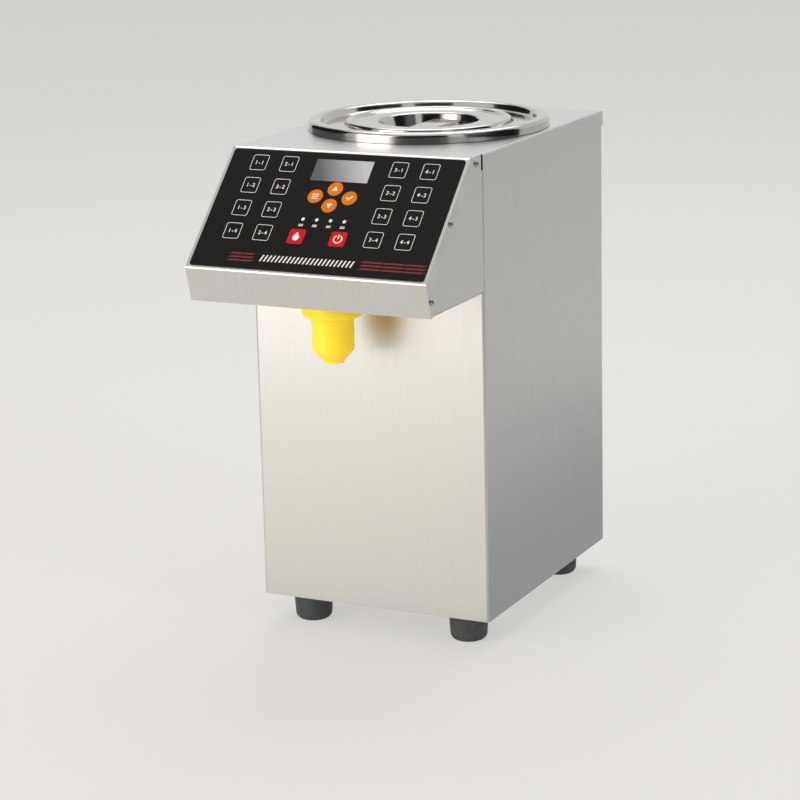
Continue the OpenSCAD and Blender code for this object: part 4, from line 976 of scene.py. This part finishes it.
class DISPENSER_OT_studio(Piece, bpy.types.Operator):
    """Sets up the camera, the floor, the lamps and the world"""

    bl_idname = "dispenser.studio"
    bl_label = "Studio"

    def make(self):
        self.camera()
        self.floor()
        self.world()
        target = Vector((0, 0, 0.25))
        self.softbox("softbox_front", (-1.25, -2.3, 0.85), target, (1.6, 1.7), 38, "#FFF7EC")
        self.softbox("softbox_right", (2.9, -0.9, 1.3), target, (0.9, 1.6), 22, "#F6F8FF")
        self.softbox("softbox_above", (-0.3, 1.2, 2.8), target, (2.4, 1.8), 40, "#FFFFFF")
        for name, start, end in (("flag_front", -6, 44), ("flag_left", -122, -60),
                                 ("flag_right", 60, 120)):
            self.flag(name, start, end, 2.2, 2.4)
        self.card("card_front", (-0.9, -1.1), (0.1, -0.16), "#FFFBF0", 0.92)
        self.card("card_side", (0.13, -0.1), (0.42, 0.9), "#B0B0B2", 1.0)
        bpy.context.scene.view_settings.view_transform = "Standard"

    def camera(self):
        """The photograph's viewpoint: where it stands, how it is turned, and its lens."""
        place = Vector((1104.5, -2265.0, 852.7)) * MM
        yaw, pitch, roll = math.radians(26.2), math.radians(14.18), math.radians(-1.33)
        ahead = Vector((-math.sin(yaw) * math.cos(pitch), math.cos(yaw) * math.cos(pitch),
                        -math.sin(pitch)))
        level = Vector((math.cos(yaw), math.sin(yaw), 0))
        upright = level.cross(ahead)
        right = math.cos(roll) * level + math.sin(roll) * upright
        up = -math.sin(roll) * level + math.cos(roll) * upright
        lens = bpy.data.cameras.new("camera")
        lens.sensor_width = 36
        lens.lens = 120.2
        view = placed_in_scene("camera", lens)
        view.matrix_world = Matrix.Translation(place) @ Matrix(
            (right, up, -ahead)).transposed().to_4x4()
        bpy.context.scene.camera = view

    def floor(self):
        """Pale matt floor to the horizon: an even pale to the eye and to metal, with its shadow."""
        made = bpy.data.materials.new("pale_floor")
        made.use_nodes = True
        tree = made.node_tree
        tree.nodes.clear()
        lit = add(tree, "ShaderNodeBsdfDiffuse", values={"Color": linear("#E4E2DE")})
        even = add(tree, "ShaderNodeEmission", values={"Color": linear("#EAE8E4"), "Strength": 1})
        share = add(tree, "ShaderNodeMath", operation="MULTIPLY", values={1: 0.62},
                    links={0: self.shown(tree)})
        mixed = add(tree, "ShaderNodeMixShader",
                    links={0: share.outputs[0], 1: lit.outputs[0], 2: even.outputs[0]})
        add(tree, "ShaderNodeOutputMaterial", links={"Surface": mixed.outputs[0]})
        self.plane("floor", [(-30, -30, 0), (30, -30, 0), (30, 30, 0), (-30, 30, 0)], made)

    def shown(self, tree):
        """One where the eye, metal or glass looks, nought where the surface only gives light."""
        path = add(tree, "ShaderNodeLightPath")
        seen = add(tree, "ShaderNodeMath", operation="MAXIMUM",
                   links={0: path.outputs["Is Camera Ray"], 1: path.outputs["Is Glossy Ray"]})
        return add(tree, "ShaderNodeMath", operation="MAXIMUM",
                   links={0: seen.outputs[0],
                          1: path.outputs["Is Transmission Ray"]}).outputs[0]

    def plane(self, name, corners, finish):
        """A flat stage piece between four corners."""
        mesh = bpy.data.meshes.new(name)
        mesh.from_pydata(corners, [], [(0, 1, 2, 3)])
        mesh.materials.append(finish)
        made = placed_in_scene(name, mesh)
        return made

    def flag(self, name, start, end, away, height):
        """An upright black card between two directions at this distance, for mirrors only."""
        black = finish_named(name, Roughness=1.0, Base_Color=linear("#0A0A0B"))[0]
        sides = [Vector((math.sin(math.radians(a)) * away, -math.cos(math.radians(a)) * away, 0))
                 for a in (start, end)]
        top = Vector((0, 0, height))
        self.unseen(self.plane(name, [sides[0], sides[1], sides[1] + top, sides[0] + top],
                               black))

    def card(self, name, low, high, hex_colour, glow):
        """A card that lies on the floor, to lighten or darken what steel mirrors of it."""
        glowing = finish_named(name, Roughness=1.0, Base_Color=linear("#0A0A0B"),
                               Emission_Color=linear(hex_colour), Emission_Strength=glow)[0]
        corners = [(low[0], low[1]), (high[0], low[1]), (high[0], high[1]), (low[0], high[1])]
        self.unseen(self.plane(name, [(x, y, 1 * MM) for x, y in corners], glowing))

    def unseen(self, card):
        """Hides a card from all but what mirrors it."""
        card.visible_camera = card.visible_diffuse = card.visible_shadow = False
        card.visible_transmission = False

    def world(self):
        """Pale surroundings: plain white to the eye and to metal, dimmer as a lamp."""
        world = bpy.data.worlds.new("studio")
        bpy.context.scene.world = world
        world.use_nodes = True
        tree = world.node_tree
        tree.nodes.clear()
        strength = add(tree, "ShaderNodeMapRange", links={"Value": self.shown(tree)},
                       values={"To Min": 0.5, "To Max": 0.9})
        light = add(tree, "ShaderNodeBackground", values={"Color": linear("#F6F5F3")},
                    links={"Strength": strength.outputs[0]})
        add(tree, "ShaderNodeOutputWorld", links={"Surface": light.outputs[0]})

    def softbox(self, name, place, target, size, power, hex_colour):
        """A rectangular lamp of this size and power in watts, aimed at the target."""
        lamp = bpy.data.lights.new(name, "AREA")
        lamp.shape = "RECTANGLE"
        lamp.size, lamp.size_y = size
        lamp.energy = power
        lamp.color = linear(hex_colour)[:3]
        made = placed_in_scene(name, lamp)
        aim = (target - Vector(place)).to_track_quat("-Z", "Y")
        made.matrix_world = Matrix.Translation(place) @ aim.to_matrix().to_4x4()
        made.visible_camera = False


STEPS = (DISPENSER_OT_sheet_steel, DISPENSER_OT_lid, DISPENSER_OT_key_panel,
         DISPENSER_OT_key_print, DISPENSER_OT_panel_print, DISPENSER_OT_screws,
         DISPENSER_OT_nozzle, DISPENSER_OT_feet, DISPENSER_OT_mains, DISPENSER_OT_inside,
         DISPENSER_OT_studio)


class DISPENSER_PT_pieces(bpy.types.Panel):
    """Lists the dispenser's pieces, sizes and colours"""

    bl_label = "Dispenser"
    bl_space_type = "VIEW_3D"
    bl_region_type = "UI"
    bl_category = "Dispenser"

    def draw(self, context):
        for step in STEPS:
            self.layout.operator(step.bl_idname)
        for group in (context.scene.dispenser_sizes, context.scene.dispenser_colours):
            for name in group.__annotations__:
                self.layout.prop(group, name)


CLASSES = (DispenserSizes, DispenserColours, *STEPS, DISPENSER_PT_pieces)


def register():
    for made in CLASSES:
        bpy.utils.register_class(made)
    bpy.types.Scene.dispenser_sizes = bpy.props.PointerProperty(type=DispenserSizes)
    bpy.types.Scene.dispenser_colours = bpy.props.PointerProperty(type=DispenserColours)


def unregister():
    del bpy.types.Scene.dispenser_colours
    del bpy.types.Scene.dispenser_sizes
    for made in reversed(CLASSES):
        bpy.utils.unregister_class(made)


def main():
    """Makes the whole dispenser."""
    register()
    for step in STEPS:
        family, name = step.bl_idname.split(".")
        getattr(getattr(bpy.ops, family), name)()


if __name__ == "__main__":
    main()
